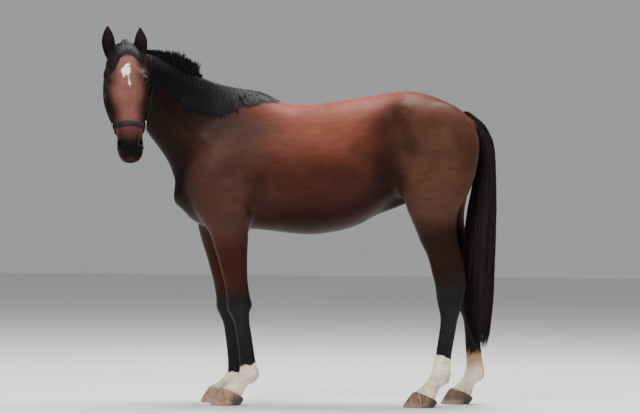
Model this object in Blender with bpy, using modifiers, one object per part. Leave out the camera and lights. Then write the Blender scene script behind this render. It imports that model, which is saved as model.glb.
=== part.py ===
"""A standing riding horse, life size, with the head turned to its left. Metres, +Z up.

The horse faces -X and its left side faces -Y. The flesh is lofted from sections, fused,
softened and parted with thin cuts; hair, ears, eyes, hooves and halter are solids of their own.
"""
import math

import bmesh
import bpy
import numpy as np
from mathutils import Matrix, Vector
from mathutils.bvhtree import BVHTree

for old in list(bpy.data.objects):
    bpy.data.objects.remove(old)

GAP = 0.0004                 # clearance between neighbouring solids
CUT = 0.0007                 # thickness of the cuts that part the flesh
CENTRE = (-0.1092, -0.0899)  # middle of the whole, moved to the origin at the end
TILT = math.radians(0.55)    # the drawing below is turned by this about HINGE, so the floor is level
HINGE = 0.560
COARSE, FINE = 0.011, 0.0065  # voxel sizes of the two fusing passes
FLESH_TRIANGLES = 4150
RING = 28                    # points round a section
STEPS = 5                    # sections between two stations

# trunk: x, back, belly, half width, level of the widest point, roundness above and below
TRUNK = [
    (-0.712, 1.170, 1.000, 0.085, 0.48, 2.0, 2.0),
    (-0.670, 1.290, 0.955, 0.135, 0.45, 2.0, 2.1),
    (-0.600, 1.400, 0.912, 0.168, 0.45, 2.0, 2.2),
    (-0.500, 1.520, 0.898, 0.186, 0.42, 1.8, 2.2),
    (-0.420, 1.590, 0.893, 0.200, 0.42, 1.7, 2.1),
    (-0.350, 1.614, 0.892, 0.212, 0.42, 1.6, 2.0),
    (-0.290, 1.598, 0.888, 0.226, 0.43, 1.6, 2.0),
    (-0.220, 1.558, 0.880, 0.244, 0.45, 1.8, 2.0),
    (-0.140, 1.529, 0.870, 0.262, 0.46, 2.0, 2.0),
    (-0.040, 1.531, 0.865, 0.280, 0.46, 2.1, 2.0),
    (0.060, 1.546, 0.876, 0.290, 0.46, 2.1, 2.0),
    (0.150, 1.560, 0.896, 0.288, 0.47, 2.1, 2.0),
    (0.230, 1.571, 0.930, 0.276, 0.48, 2.1, 2.0),
    (0.310, 1.583, 0.984, 0.256, 0.50, 2.1, 2.0),
    (0.380, 1.594, 1.030, 0.248, 0.58, 2.1, 2.0),
    (0.440, 1.599, 1.060, 0.258, 0.66, 2.1, 2.0),
    (0.520, 1.589, 1.080, 0.256, 0.62, 2.0, 2.0),
    (0.600, 1.562, 1.100, 0.232, 0.60, 1.9, 2.0),
    (0.670, 1.533, 1.140, 0.190, 0.60, 1.8, 2.0),
    (0.730, 1.496, 1.220, 0.130, 0.60, 1.8, 2.0),
    (0.760, 1.462, 1.290, 0.085, 0.60, 2.0, 2.0),
]
# neck: crest point, underline point, half width, level, roundness above and below
NECK = [
    ((-0.250, 0.000, 1.560), (-0.560, 0.000, 0.960), 0.175, 0.45, 1.6, 2.2),
    ((-0.340, 0.000, 1.606), (-0.705, 0.000, 1.040), 0.150, 0.45, 1.6, 2.2),
    ((-0.435, -0.005, 1.625), (-0.745, -0.005, 1.125), 0.130, 0.44, 1.6, 2.1),
    ((-0.532, -0.020, 1.650), (-0.757, -0.022, 1.200), 0.112, 0.43, 1.6, 2.1),
    ((-0.632, -0.050, 1.693), (-0.794, -0.055, 1.270), 0.098, 0.42, 1.6, 2.1),
    ((-0.730, -0.100, 1.738), (-0.841, -0.105, 1.338), 0.088, 0.42, 1.6, 2.1),
    ((-0.811, -0.160, 1.773), (-0.883, -0.160, 1.406), 0.082, 0.45, 1.7, 2.1),
    ((-0.880, -0.225, 1.790), (-0.920, -0.210, 1.478), 0.078, 0.50, 1.8, 2.1),
    ((-0.940, -0.290, 1.782), (-0.950, -0.250, 1.560), 0.072, 0.50, 2.0, 2.1),
]
# shoulder and thigh: x in front, x behind, height, distance from the middle, half width
SHOULDER = [
    (-0.575, -0.354, 0.900, 0.132, 0.083),
    (-0.625, -0.345, 0.985, 0.135, 0.092),
    (-0.665, -0.338, 1.090, 0.135, 0.100),
    (-0.668, -0.322, 1.180, 0.130, 0.098),
    (-0.625, -0.300, 1.280, 0.120, 0.084),
    (-0.555, -0.275, 1.380, 0.105, 0.062),
    (-0.470, -0.260, 1.470, 0.085, 0.040),
]
THIGH = [
    (0.419, 0.737, 1.040, 0.140, 0.108),
    (0.396, 0.758, 1.090, 0.142, 0.118),
    (0.388, 0.778, 1.140, 0.143, 0.124),
    (0.405, 0.795, 1.216, 0.143, 0.128),
    (0.430, 0.806, 1.290, 0.140, 0.126),
    (0.460, 0.800, 1.360, 0.132, 0.116),
    (0.480, 0.765, 1.430, 0.118, 0.100),
    (0.500, 0.710, 1.490, 0.100, 0.080),
]
SHEATH = [
    (0.270, 1.000, 0.950, 0.026, 0.50, 2.0, 2.0),
    (0.330, 1.035, 0.984, 0.036, 0.50, 2.0, 2.0),
    (0.380, 1.065, 1.012, 0.038, 0.50, 2.0, 2.0),
    (0.405, 1.080, 1.035, 0.030, 0.50, 2.0, 2.0),
]
# legs: the four joints of each
LEGS = {
    "fore_left": ((-0.462, -0.130, 0.930), (-0.405, -0.118, 0.510),
                  (-0.361, -0.108, 0.172), (-0.440, -0.105, 0.076)),
    "fore_right": ((-0.526, 0.130, 0.930), (-0.468, 0.121, 0.505),
                   (-0.430, 0.114, 0.162), (-0.508, 0.112, 0.066)),
    "hind_left": ((0.578, -0.140, 1.040), (0.672, -0.142, 0.600),
                  (0.603, -0.145, 0.165), (0.529, -0.148, 0.052)),
    "hind_right": ((0.620, 0.140, 1.040), (0.767, 0.137, 0.600),
                   (0.793, 0.135, 0.165), (0.728, 0.135, 0.054)),
}
# along each bone: which bone, place along it, reach in front, reach behind, half width
FORE_PROFILE = [
    (0, 0.00, 0.108, 0.108, 0.084),
    (0, 0.20, 0.094, 0.094, 0.073),
    (0, 0.45, 0.075, 0.075, 0.060),
    (0, 0.70, 0.063, 0.062, 0.051),
    (0, 0.88, 0.061, 0.061, 0.049),
    (1, 0.00, 0.064, 0.064, 0.053),
    (1, 0.12, 0.057, 0.053, 0.047),
    (1, 0.26, 0.041, 0.043, 0.034),
    (1, 0.50, 0.038, 0.044, 0.030),
    (1, 0.75, 0.038, 0.046, 0.030),
    (1, 0.90, 0.042, 0.050, 0.036),
    (2, 0.00, 0.046, 0.056, 0.041),
    (2, 0.45, 0.038, 0.043, 0.034),
    (2, 0.80, 0.046, 0.048, 0.042),
    (2, 1.10, 0.062, 0.060, 0.052),
]
HIND_PROFILE = [
    (0, 0.00, 0.156, 0.156, 0.110),
    (0, 0.23, 0.136, 0.095, 0.086),
    (0, 0.45, 0.116, 0.074, 0.066),
    (0, 0.57, 0.102, 0.072, 0.058),
    (0, 0.68, 0.097, 0.075, 0.052),
    (0, 0.80, 0.096, 0.076, 0.048),
    (0, 0.91, 0.093, 0.070, 0.047),
    (1, 0.00, 0.096, 0.060, 0.049),
    (1, 0.14, 0.082, 0.057, 0.047),
    (1, 0.255, 0.064, 0.052, 0.042),
    (1, 0.37, 0.046, 0.046, 0.035),
    (1, 0.50, 0.042, 0.046, 0.032),
    (1, 0.70, 0.042, 0.044, 0.032),
    (1, 0.85, 0.042, 0.046, 0.034),
    (2, 0.00, 0.050, 0.054, 0.041),
    (2, 0.45, 0.041, 0.042, 0.035),
    (2, 0.80, 0.048, 0.047, 0.042),
    (2, 1.10, 0.062, 0.060, 0.051),
]
# hooves: toe and heel on the ground, front and back of the coronet (x, z), half width
HOOVES = {
    "fore_left": (-0.555, -0.402, (-0.499, 0.100), (-0.386, 0.054), 0.064),
    "fore_right": (-0.616, -0.467, (-0.566, 0.092), (-0.452, 0.048), 0.064),
    "hind_left": (0.411, 0.572, (0.468, 0.079), (0.586, 0.041), 0.060),
    "hind_right": (0.616, 0.765, (0.669, 0.082), (0.784, 0.042), 0.060),
}
# head: its own frame starts at the poll and runs to the muzzle
POLL = Vector((-0.966, -0.290, 1.808))
FACE_YAW, FACE_PITCH, FACE_ROLL = 94.8, 22.0, 2.8
# distance from the poll, face line, jaw line, half width, level, roundness above and below
HEAD = [
    (0.000, -0.004, -0.120, 0.072, 0.50, 2.0, 2.0),
    (0.045, 0.018, -0.190, 0.091, 0.60, 2.2, 2.1),
    (0.095, 0.032, -0.240, 0.104, 0.66, 2.3, 2.1),
    (0.150, 0.038, -0.262, 0.113, 0.70, 2.4, 2.2),
    (0.200, 0.037, -0.262, 0.115, 0.70, 2.4, 2.2),
    (0.250, 0.031, -0.245, 0.114, 0.60, 2.1, 2.2),
    (0.300, 0.021, -0.215, 0.108, 0.50, 2.0, 2.2),
    (0.350, 0.011, -0.185, 0.096, 0.46, 2.0, 2.2),
    (0.400, 0.002, -0.162, 0.081, 0.47, 2.1, 2.2),
    (0.450, -0.005, -0.146, 0.070, 0.50, 2.2, 2.2),
    (0.495, -0.012, -0.138, 0.066, 0.54, 2.3, 2.2),
    (0.532, -0.022, -0.136, 0.065, 0.57, 2.3, 2.2),
    (0.563, -0.040, -0.130, 0.058, 0.55, 2.2, 2.2),
    (0.584, -0.060, -0.115, 0.044, 0.50, 2.1, 2.1),
]
EYE = (0.200, 0.085, -0.004)   # along the head, to the side, above the axis
EYE_RADIUS = 0.023
# relief on the head: points (along, side, normal), radius, height
FACE_RELIEF = [
    (((0.172, 0.082, 0.010), (0.200, 0.090, 0.012), (0.235, 0.098, -0.008)), 0.016, 0.008),
    (((0.225, 0.112, -0.040),), 0.026, 0.005),
    (((0.130, 0.070, 0.020),), 0.028, -0.007),
    (((0.250, 0.100, -0.055), (0.380, 0.080, -0.055)), 0.016, 0.007),
    (((0.190, 0.105, -0.170), (0.230, 0.100, -0.150)), 0.060, 0.006),
    (((0.300, 0.060, -0.010), (0.450, 0.050, -0.030)), 0.022, -0.005),
    (((0.400, 0.075, -0.110), (0.470, 0.065, -0.100)), 0.030, -0.004),
    (((0.525, 0.048, -0.040), (0.555, 0.044, -0.050)), 0.026, 0.009),
    (((0.545, 0.052, -0.046),), 0.012, -0.016),
    (((0.530, 0.066, -0.098), (0.605, 0.020, -0.098)), 0.008, -0.007),
]
# relief on the body, the same on both sides: points (x, y, z), radius, height
BODY_RELIEF = [
    (((-0.700, 0.060, 1.080), (-0.660, 0.080, 1.000)), 0.060, 0.014),
    (((-0.730, 0.000, 1.140), (-0.700, 0.000, 0.990)), 0.030, -0.014),
    (((-0.620, 0.150, 1.300), (-0.480, 0.120, 1.460)), 0.035, -0.010),
    (((-0.500, 0.210, 1.280), (-0.400, 0.160, 1.480)), 0.045, 0.008),
    (((-0.420, 0.235, 1.100), (-0.380, 0.225, 1.000)), 0.060, 0.010),
    (((-0.310, 0.225, 1.050), (-0.300, 0.230, 1.250)), 0.035, -0.010),
    (((0.330, 0.240, 1.250), (0.350, 0.240, 1.400)), 0.070, -0.016),
    (((0.400, 0.250, 1.500),), 0.045, 0.012),
    (((0.410, 0.230, 1.130), (0.440, 0.240, 1.090)), 0.050, 0.014),
    (((0.690, 0.220, 1.400), (0.720, 0.220, 1.200), (0.660, 0.190, 1.050)), 0.022, -0.008),
    (((-0.080, 0.030, 1.530), (0.300, 0.030, 1.580)), 0.025, -0.004),
]
# mane: place along the neck (0 withers, 8 poll), lower edge
MANE = [(0.85, 1.545), (1.0, 1.510), (1.35, 1.515), (1.7, 1.478), (2.2, 1.470), (2.7, 1.482), (3.2, 1.485),
        (3.7, 1.500), (4.2, 1.545), (4.8, 1.580), (5.3, 1.600), (5.9, 1.620), (6.5, 1.635), (7.2, 1.660)]
# hair that stands up from the crest: x, height over the crest
UPRIGHT = [(-0.616, 0.004), (-0.634, 0.056), (-0.652, 0.034), (-0.668, 0.056), (-0.684, 0.040),
           (-0.702, 0.066), (-0.718, 0.046), (-0.736, 0.058), (-0.754, 0.042), (-0.774, 0.042),
           (-0.794, 0.026), (-0.812, 0.028),
           (-0.836, 0.016), (-0.856, 0.008)]
# forelock, across: side at the root, side at the tip, how far down the tip is, thickness
FORELOCK = [(-0.040, -0.090, 0.115, 0.004), (-0.032, -0.080, 0.158, 0.010), (-0.020, -0.056, 0.120, 0.012),
            (-0.008, -0.022, 0.070, 0.012), (0.006, 0.018, 0.052, 0.012), (0.018, 0.052, 0.095, 0.011),
            (0.030, 0.086, 0.140, 0.009), (0.040, 0.092, 0.095, 0.004)]
# tail: outer x, inner x, height, half width
TAIL = [
    (0.762, 0.720, 1.492, 0.022),
    (0.800, 0.742, 1.462, 0.030),
    (0.836, 0.766, 1.425, 0.036),
    (0.862, 0.786, 1.380, 0.042),
    (0.884, 0.796, 1.320, 0.050),
    (0.893, 0.790, 1.230, 0.058),
    (0.896, 0.772, 1.120, 0.066),
    (0.897, 0.744, 0.980, 0.074),
    (0.896, 0.728, 0.840, 0.076),
    (0.889, 0.720, 0.690, 0.070),
    (0.884, 0.722, 0.540, 0.056),
    (0.874, 0.736, 0.430, 0.040),
    (0.856, 0.790, 0.345, 0.018),
]
TAIL_CUT = 0.950
# ears: place along the ear, half width, depth of the cup, lean forward
EAR = [(-0.14, 0.014, 0.012, 0.000), (0.00, 0.023, 0.020, 0.000), (0.14, 0.029, 0.024, 0.002),
       (0.30, 0.034, 0.026, 0.004),
       (0.48, 0.035, 0.024, 0.006), (0.65, 0.030, 0.018, 0.006), (0.80, 0.021, 0.012, 0.004),
       (0.92, 0.011, 0.007, 0.000), (1.00, 0.004, 0.003, -0.004)]
EARS = {"ear_left": ((0.042, 0.077, -0.045), 0.144), "ear_right": ((0.036, -0.079, -0.045), 0.154)}
EAR_WALL = 0.006
NOSEBAND_AT, NOSEBAND_WIDTH, STRAP_THICKNESS = 0.426, 0.027, 0.0055
CHEEK_PATH = [(0.398, -0.076), (0.370, -0.080), (0.330, -0.086), (0.260, -0.096), (0.190, -0.104),
              (0.120, -0.104), (0.060, -0.092)]
CHEEK_WIDTH = 0.018
RING_RADIUS, RING_WIRE = 0.019, 0.003

COLOURS = {
    "coat": (0.16, 0.045, 0.02, 0.55), "dark coat": (0.03, 0.014, 0.01, 0.6),
    "hair": (0.008, 0.007, 0.008, 0.5), "hoof": (0.20, 0.13, 0.08, 0.45),
    "eye": (0.012, 0.006, 0.004, 0.1), "leather": (0.012, 0.009, 0.008, 0.45),
    "metal": (0.55, 0.55, 0.55, 0.3),
}

horse = bpy.data.collections.new("Horse")
cutters = bpy.data.collections.new("Cutters")
bpy.context.scene.collection.children.link(horse)
bpy.context.scene.collection.children.link(cutters)


def between(rows, steps=STEPS):
    """Catmull-Rom curve through the rows of a table."""
    rows = np.array([np.hstack([np.ravel(v) for v in r]) for r in rows], float)
    ends = np.vstack([2 * rows[0] - rows[1], rows, 2 * rows[-1] - rows[-2]])
    t = (np.arange(steps) / steps)[:, None]
    spans = []
    for p0, p1, p2, p3 in zip(ends, ends[1:], ends[2:], ends[3:]):
        bend = 2 * p0 - 5 * p1 + 4 * p2 - p3
        cube = 3 * p1 - p0 - 3 * p2 + p3
        spans.append(0.5 * (2 * p1 + (p2 - p0) * t + bend * t ** 2 + cube * t ** 3))
    return np.vstack(spans + [rows[-1:]])


def skin_rings(bm, rings):
    """Closed solid through rings of equal count."""
    made = [[bm.verts.new(p) for p in ring] for ring in rings]
    count = len(made[0])
    for a, b in zip(made, made[1:]):
        for j in range(count):
            k = (j + 1) % count
            bm.faces.new((a[j], a[k], b[k], b[j]))
    bm.faces.new(made[0][::-1])
    bm.faces.new(made[-1])
    bmesh.ops.recalc_face_normals(bm, faces=bm.faces)
    return bm


def loft(rows, dome=(0.6, 0.6), ring=RING, steps=STEPS):
    """Solid through sections given as top, bottom, half width, level, roundness above and below."""
    rows = between(rows, steps)
    top, bottom = rows[:, 0:3], rows[:, 3:6]
    width, level, above, below = rows[:, 6:10].T
    height = np.linalg.norm(top - bottom, axis=1)
    up = (top - bottom) / height[:, None]
    centre = bottom + (top - bottom) * level[:, None]
    along = np.gradient(centre, axis=0)
    along /= np.linalg.norm(along, axis=1)[:, None]
    side = np.cross(along, up)
    side /= np.linalg.norm(side, axis=1)[:, None]
    angle = np.arange(ring) * 2 * np.pi / ring
    c, s = np.cos(angle), np.sin(angle)

    def section(i, scale=1.0, shift=0.0):
        power = 2 / np.where(s >= 0, above[i], below[i])
        v = np.sign(s) * np.abs(s) ** power
        u = np.sign(c) * np.abs(c) ** power
        reach = np.where(s >= 0, height[i] * (1 - level[i]), height[i] * level[i])
        middle = centre[i] + along[i] * shift
        return middle + scale * (np.outer(u * width[i], side[i]) + np.outer(v * reach, up[i]))

    first, last = (min(width[i], height[i] / 2) * d for i, d in ((0, dome[0]), (-1, dome[1])))
    caps = [math.radians(a) for a in (25, 50, 72)]
    rings = [section(0, math.cos(a), -math.sin(a) * first) for a in caps[::-1]]
    rings += [section(i) for i in range(len(rows))]
    rings += [section(-1, math.cos(a), math.sin(a) * last) for a in caps]
    return skin_rings(bmesh.new(), rings)


def level_rows(table):
    return [((x, 0, t), (x, 0, b), w, lv, up, down) for x, t, b, w, lv, up, down in table]


def upright_rows(table, side):
    return [((f, y * side, z), (b, y * side, z), w, 0.5, 2.1, 2.1) for f, b, z, y, w in table]


def leg_rows(leg, profile):
    path = [Vector(joint) for joint in leg]
    rows = []
    for bone, t, front, back, width in profile:
        a, b = path[bone], path[bone + 1]
        line = (b - a).normalized()
        if t == 0 and bone:
            line = (line + (a - path[bone - 1]).normalized()).normalized()
        forward = Vector((line.z, 0, -line.x)).normalized()
        centre = a.lerp(b, t)
        rows.append((centre + forward * front, centre - forward * back, width, 0.5, 2.1, 2.1))
    return rows


def head_axes():
    yaw, pitch, roll = (math.radians(v) for v in (FACE_YAW, FACE_PITCH, FACE_ROLL))
    facing = Vector((-math.cos(yaw), -math.sin(yaw), 0))
    left = Vector((-facing.y, facing.x, 0))
    down = facing * math.sin(pitch) + Vector((0, 0, -math.cos(pitch))) + left * math.tan(roll)
    down.normalize()
    left = (left - down * left.dot(down)).normalized()
    return down, left, down.cross(left).normalized()


DOWN, LEFT, FACE = head_axes()


def at_head(along, side, normal):
    return POLL + DOWN * along + LEFT * side + FACE * normal


def head_rows():
    return [(at_head(a, 0, d), at_head(a, 0, v), w, lv, up, dn) for a, d, v, w, lv, up, dn in HEAD]


def placed(bm, name, collection=None):
    mesh = bpy.data.meshes.new(name)
    bm.to_mesh(mesh)
    bm.free()
    obj = bpy.data.objects.new(name, mesh)
    (collection or horse).objects.link(obj)
    return obj


def merged(parts, name, collection=None):
    whole = bmesh.new()
    for bm in parts:
        piece = bpy.data.meshes.new("piece")
        bm.to_mesh(piece)
        bm.free()
        whole.from_mesh(piece)
        bpy.data.meshes.remove(piece)
    return placed(whole, name, collection)


def applied(obj):
    """Replaces the object's mesh by what its modifiers make of it."""
    mesh = bpy.data.meshes.new_from_object(obj.evaluated_get(bpy.context.evaluated_depsgraph_get()))
    obj.modifiers.clear()
    obj.data = mesh
    return obj


def fused(obj, size):
    remesh = obj.modifiers.new("Fuse", "REMESH")
    remesh.mode = "VOXEL"
    remesh.voxel_size = size
    return applied(obj)


def thinned(obj, triangles, group=None):
    """Collapses the mesh to so many triangles."""
    thin = obj.modifiers.new("Fewer faces", "DECIMATE")
    thin.use_collapse_triangulate = True
    thin.ratio = triangles / sum(len(p.vertices) - 2 for p in obj.data.polygons)
    if group:
        thin.vertex_group = group
        thin.vertex_group_factor = 1.0
    return applied(obj)


def softened(obj, zones):
    """Smooths where the zone function is true, so many times."""
    for test, times in zones:
        chosen = [v.index for v in obj.data.vertices if test(v.co)]
        group = obj.vertex_groups.new(name="soft")
        group.add(chosen, 1.0, "REPLACE")
        smooth = obj.modifiers.new("Soften", "SMOOTH")
        smooth.factor = 0.5
        smooth.iterations = times
        smooth.vertex_group = "soft"
        applied(obj)
        obj.vertex_groups.clear()
    return obj


def stroke_distance(points, spots):
    """Distance of every vertex from a line through the spots."""
    spots = [np.array(s, float) for s in spots]
    if len(spots) == 1:
        return np.linalg.norm(points - spots[0], axis=1)
    best = np.full(len(points), 9.0)
    for a, b in zip(spots, spots[1:]):
        t = np.clip((points - a) @ (b - a) / ((b - a) @ (b - a)), 0, 1)
        best = np.minimum(best, np.linalg.norm(points - a - np.outer(t, b - a), axis=1))
    return best


def relieved(obj, strokes):
    """Raises or lowers the surface along its normal near each stroke."""
    mesh = obj.data
    count = len(mesh.vertices)
    points, normals = np.empty(count * 3), np.empty(count * 3)
    mesh.vertices.foreach_get("co", points)
    mesh.vertices.foreach_get("normal", normals)
    points, normals = points.reshape(-1, 3), normals.reshape(-1, 3)
    move = np.zeros(count)
    for spots, radius, height in strokes:
        move += height * np.exp(-(stroke_distance(points, spots) / radius) ** 2)
    mesh.vertices.foreach_set("co", (points + normals * move[:, None]).ravel())
    mesh.update()
    return obj


def box_plate(centre, across, along, half_across, half_along, thickness):
    """A thin plate with the two given directions in its plane."""
    across, along = Vector(across).normalized(), Vector(along).normalized()
    normal = across.cross(along).normalized()
    along = normal.cross(across)
    axes = Matrix((across * half_across * 2, along * half_along * 2, normal * thickness))
    frame = axes.transposed().to_4x4()
    bm = bmesh.new()
    bmesh.ops.create_cube(bm, size=1.0, matrix=Matrix.Translation(centre) @ frame)
    bmesh.ops.recalc_face_normals(bm, faces=bm.faces)
    return bm


def boolean(obj, other, operation="DIFFERENCE"):
    mod = obj.modifiers.new(operation.title(), "BOOLEAN")
    mod.operation = operation
    mod.solver = "EXACT"
    mod.use_self = len(obj.data.polygons) < 1500
    mod.object = other
    return mod


def ground_plane(leg):
    """Coronet plane of a hoof: middle, direction back, half length."""
    toe, heel, front, back, width = HOOVES[leg]
    y = LEGS[leg][3][1]
    a, b = Vector((front[0], y, front[1])), Vector((back[0], y, back[1]))
    return (a + b) / 2, (b - a).normalized(), (b - a).length / 2


def floor_at(x):
    return math.tan(TILT) * (HINGE - x)


def hoof(leg):
    toe, heel, front, back, width = HOOVES[leg]
    y = LEGS[leg][3][1]
    slope = (back[1] - front[1]) / (back[0] - front[0])
    count = 16
    rings = []
    for t in (0.0, 0.10, 0.90, 1.0):
        inset = 0.004 if t in (0.0, 1.0) else 0.0
        x0, x1 = toe + (front[0] - toe) * t + inset, heel + (back[0] - heel) * t - inset
        z0, z1 = (floor_at(x) * (1 - t) + (front[1] + (x - front[0]) * slope) * t for x in (x0, x1))
        half = width - (0.010 if t < 1 else 0.011) * t - inset
        ring = []
        for k in range(count):
            angle = 2 * math.pi * k / count
            u, v = math.cos(angle), math.sin(angle)
            narrow = 1 - 0.16 * max(0.0, -u)
            share = (1 - math.copysign(abs(u) ** 0.9, u)) / 2
            ring.append((x0 + (x1 - x0) * share, y + half * narrow * v, z0 + (z1 - z0) * share))
        rings.append(ring)
    return placed(skin_rings(bmesh.new(), rings), "hoof_" + leg)


def flesh():
    legs = [(FORE_PROFILE if k.startswith("fore") else HIND_PROFILE, v) for k, v in LEGS.items()]
    parts = [loft(level_rows(TRUNK)), loft(NECK), loft(level_rows(SHEATH))]
    parts += [loft(leg_rows(leg, profile)) for profile, leg in legs]
    for side in (-1, 1):
        parts += [loft(upright_rows(SHOULDER, side)), loft(upright_rows(THIGH, side))]
    body = fused(merged(parts, "body"), COARSE)
    softened(body, [(lambda p: True, 2), (lambda p: p.z > 0.86, 14), (lambda p: p.z > 1.00, 10)])
    relieved(body, [([(x, y * side, z) for x, y, z in spots], reach, height)
                    for spots, reach, height in BODY_RELIEF for side in (-1, 1)])
    both = bmesh.new()
    both.from_mesh(body.data)
    bpy.data.objects.remove(body)
    body = fused(merged([both, loft(head_rows())], "body"), FINE)
    throat = at_head(0.10, 0, -0.16)
    softened(body, [(lambda p: True, 1),
                    (lambda p: (p - throat).length < 0.17 and (p - POLL).dot(FACE) < -0.07, 14)])
    strokes = []
    for spots, radius, height in FACE_RELIEF:
        strokes += [([at_head(a, s * side, n) for a, s, n in spots], radius, height) for side in (-1, 1)]
    relieved(body, strokes)
    kept = body.vertex_groups.new(name="collapse")
    for v in body.data.vertices:
        head = (v.co - at_head(0.3, 0, -0.08)).length < 0.36 and v.co.y < -0.22
        kept.add([v.index], 0.90 if head else (0.92 if v.co.z < 0.62 else 1.0), "REPLACE")
    return thinned(body, FLESH_TRIANGLES, "collapse")


def plates():
    """The cuts that part the flesh."""
    made = [box_plate((-0.550, 0, 1.340), (0, 1, 0), (-0.42, 0, -0.64), 0.300, 0.430, CUT)]
    slope = DOWN * 0.36 - FACE * 0.145
    made.append(box_plate(at_head(0.130, 0, -0.168), LEFT + FACE * 0.65, slope, 0.220, 0.240, CUT))
    for name, leg in LEGS.items():
        side = math.copysign(1, leg[0][1])
        (x0, y0, z0), (x1, y1, z1) = leg[0], leg[1]
        if name.startswith("fore"):
            made.append(box_plate((x0 + 0.004, side * 0.135, 0.889), (1, 0, 0), (0, side, 0.26),
                                  0.165, 0.108, CUT))
            made.append(box_plate((x1, y1, z1), (1, 0, 0), (0, 1, 0), 0.100, 0.075, CUT))
        else:
            made.append(box_plate((x0 + 0.010, side * 0.155, 1.052), (1, 0, 0), (0, side, 0.36),
                                  0.225, 0.132, CUT))
            made.append(box_plate((x1, y1, z1 - 0.020), (1, 0, 0.1), (0, 1, 0), 0.120, 0.080, CUT))
    return made


def coronet_cutters():
    """Blocks that end each leg a gap above its hoof."""
    made = []
    for leg in HOOVES:
        middle, back, half = ground_plane(leg)
        up = Vector((-back.z, 0, back.x))
        up = up if up.z > 0 else -up
        bm = box_plate(middle + up * (GAP - 0.060), (0, 1, 0), back, 0.090, 0.125, 0.120)
        made.append(bm)
    return made


def islands(bm):
    """The loose pieces of a mesh, as sets of vertices, largest first."""
    left = set(bm.verts)
    groups = []
    while left:
        heap = [left.pop()]
        group = set(heap)
        while heap:
            for edge in heap.pop().link_edges:
                for v in edge.verts:
                    if v in left:
                        left.discard(v)
                        group.add(v)
                        heap.append(v)
        groups.append(group)
    return sorted(groups, key=len, reverse=True)


def without_crumbs(obj):
    """Keeps the largest loose piece."""
    bm = bmesh.new()
    bm.from_mesh(obj.data)
    groups = islands(bm)
    if len(groups) > 1:
        print(obj.name, "crumbs", [len(g) for g in groups], [round(v, 3) for v in list(groups[1])[0].co])
    for group in groups[1:]:
        bmesh.ops.delete(bm, geom=list(group), context="VERTS")
    bm.to_mesh(obj.data)
    bm.free()


def swollen(obj):
    """A copy that is larger by a gap, to cut the neighbours with."""
    bigger = obj.copy()
    bigger.data = obj.data.copy()
    bigger.name = obj.name + "_gap"
    cutters.objects.link(bigger)
    normals = [n.vector.copy() for n in obj.data.vertex_normals]
    for vertex, normal in zip(bigger.data.vertices, normals):
        vertex.co += normal * GAP * 1.4
    return bigger


def touching(first, second):
    trees = [BVHTree.FromObject(obj, bpy.context.evaluated_depsgraph_get()) for obj in (first, second)]
    return bool(trees[0].overlap(trees[1]))


def cut_by(piece, other):
    boolean(piece, other)
    applied(piece)
    without_crumbs(piece)


def parted(body):
    """Splits the cut flesh into its loose pieces, each named by the place nearest to its middle."""
    places = {
        "trunk": (0.050, 0.000, 1.250), "neck": (-0.680, -0.060, 1.480),
        "head": tuple(at_head(0.270, 0, -0.080)),
    }
    for name, leg in LEGS.items():
        a, b, c = (Vector(joint) for joint in leg[:3])
        places["upper_" + name], places["lower_" + name] = (a + b) / 2, (b + c) / 2
    bm = bmesh.new()
    bm.from_mesh(body.data)
    done = {}
    for group in islands(bm):
        if len(group) < 20:
            print("dropped a crumb of", len(group))
            continue
        low = Vector([min(v.co[i] for v in group) for i in range(3)])
        high = Vector([max(v.co[i] for v in group) for i in range(3)])
        middle = (low + high) / 2
        name = min(places, key=lambda k: (Vector(places[k]) - middle).length)
        if name in done:
            raise ValueError("two pieces are nearest to " + name)
        piece = bm.copy()
        piece.verts.ensure_lookup_table()
        keep = {v.index for v in group}
        bmesh.ops.delete(piece, geom=[v for v in piece.verts if v.index not in keep], context="VERTS")
        done[name] = placed(piece, name)
    bm.free()
    missing = set(places) - set(done)
    if missing:
        raise ValueError("missing " + ", ".join(sorted(missing)))
    return done


def on_surface(tree, origin, direction):
    direction = Vector(direction).normalized()
    spot = tree.ray_cast(origin, direction)[0]
    if spot is None:
        raise ValueError("no surface here")
    return spot, direction


def shell(tree, rows, depth=0.012):
    """A layer over the surface; rows of (origin, direction, thickness)."""
    bm = bmesh.new()
    outer, inner = [], []
    for row in rows:
        spots = [(*on_surface(tree, o, d), t) for o, d, t in row]
        outer.append([bm.verts.new(p + d * t) for p, d, t in spots])
        inner.append([bm.verts.new(p - d * depth) for p, d, t in spots])
    wide, long = len(rows[0]), len(rows)
    for i in range(long - 1):
        for j in range(wide - 1):
            bm.faces.new((outer[i][j], outer[i][j + 1], outer[i + 1][j + 1], outer[i + 1][j]))
            bm.faces.new((inner[i][j], inner[i + 1][j], inner[i + 1][j + 1], inner[i][j + 1]))
        for j in (0, wide - 1):
            bm.faces.new((outer[i][j], outer[i + 1][j], inner[i + 1][j], inner[i][j]))
    for i in (0, long - 1):
        for j in range(wide - 1):
            bm.faces.new((outer[i][j], outer[i][j + 1], inner[i][j + 1], inner[i][j]))
    bmesh.ops.recalc_face_normals(bm, faces=bm.faces)
    return bm


def strap(tree, pairs, thickness, closed=False, depth=0.010):
    """A strap over the surface; each pair is the two edges' (origin, direction)."""
    rings = []
    for pair in pairs:
        (p, d), (q, e) = (on_surface(tree, *ray) for ray in pair)
        rings.append([p + d * thickness, q + e * thickness, q - e * depth, p - d * depth])
    if not closed:
        return skin_rings(bmesh.new(), rings)
    bm = bmesh.new()
    made = [[bm.verts.new(p) for p in ring] for ring in rings]
    for a, b in zip(made, made[1:] + made[:1]):
        for j in range(4):
            k = (j + 1) % 4
            bm.faces.new((a[j], a[k], b[k], b[j]))
    bmesh.ops.recalc_face_normals(bm, faces=bm.faces)
    return bm


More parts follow.
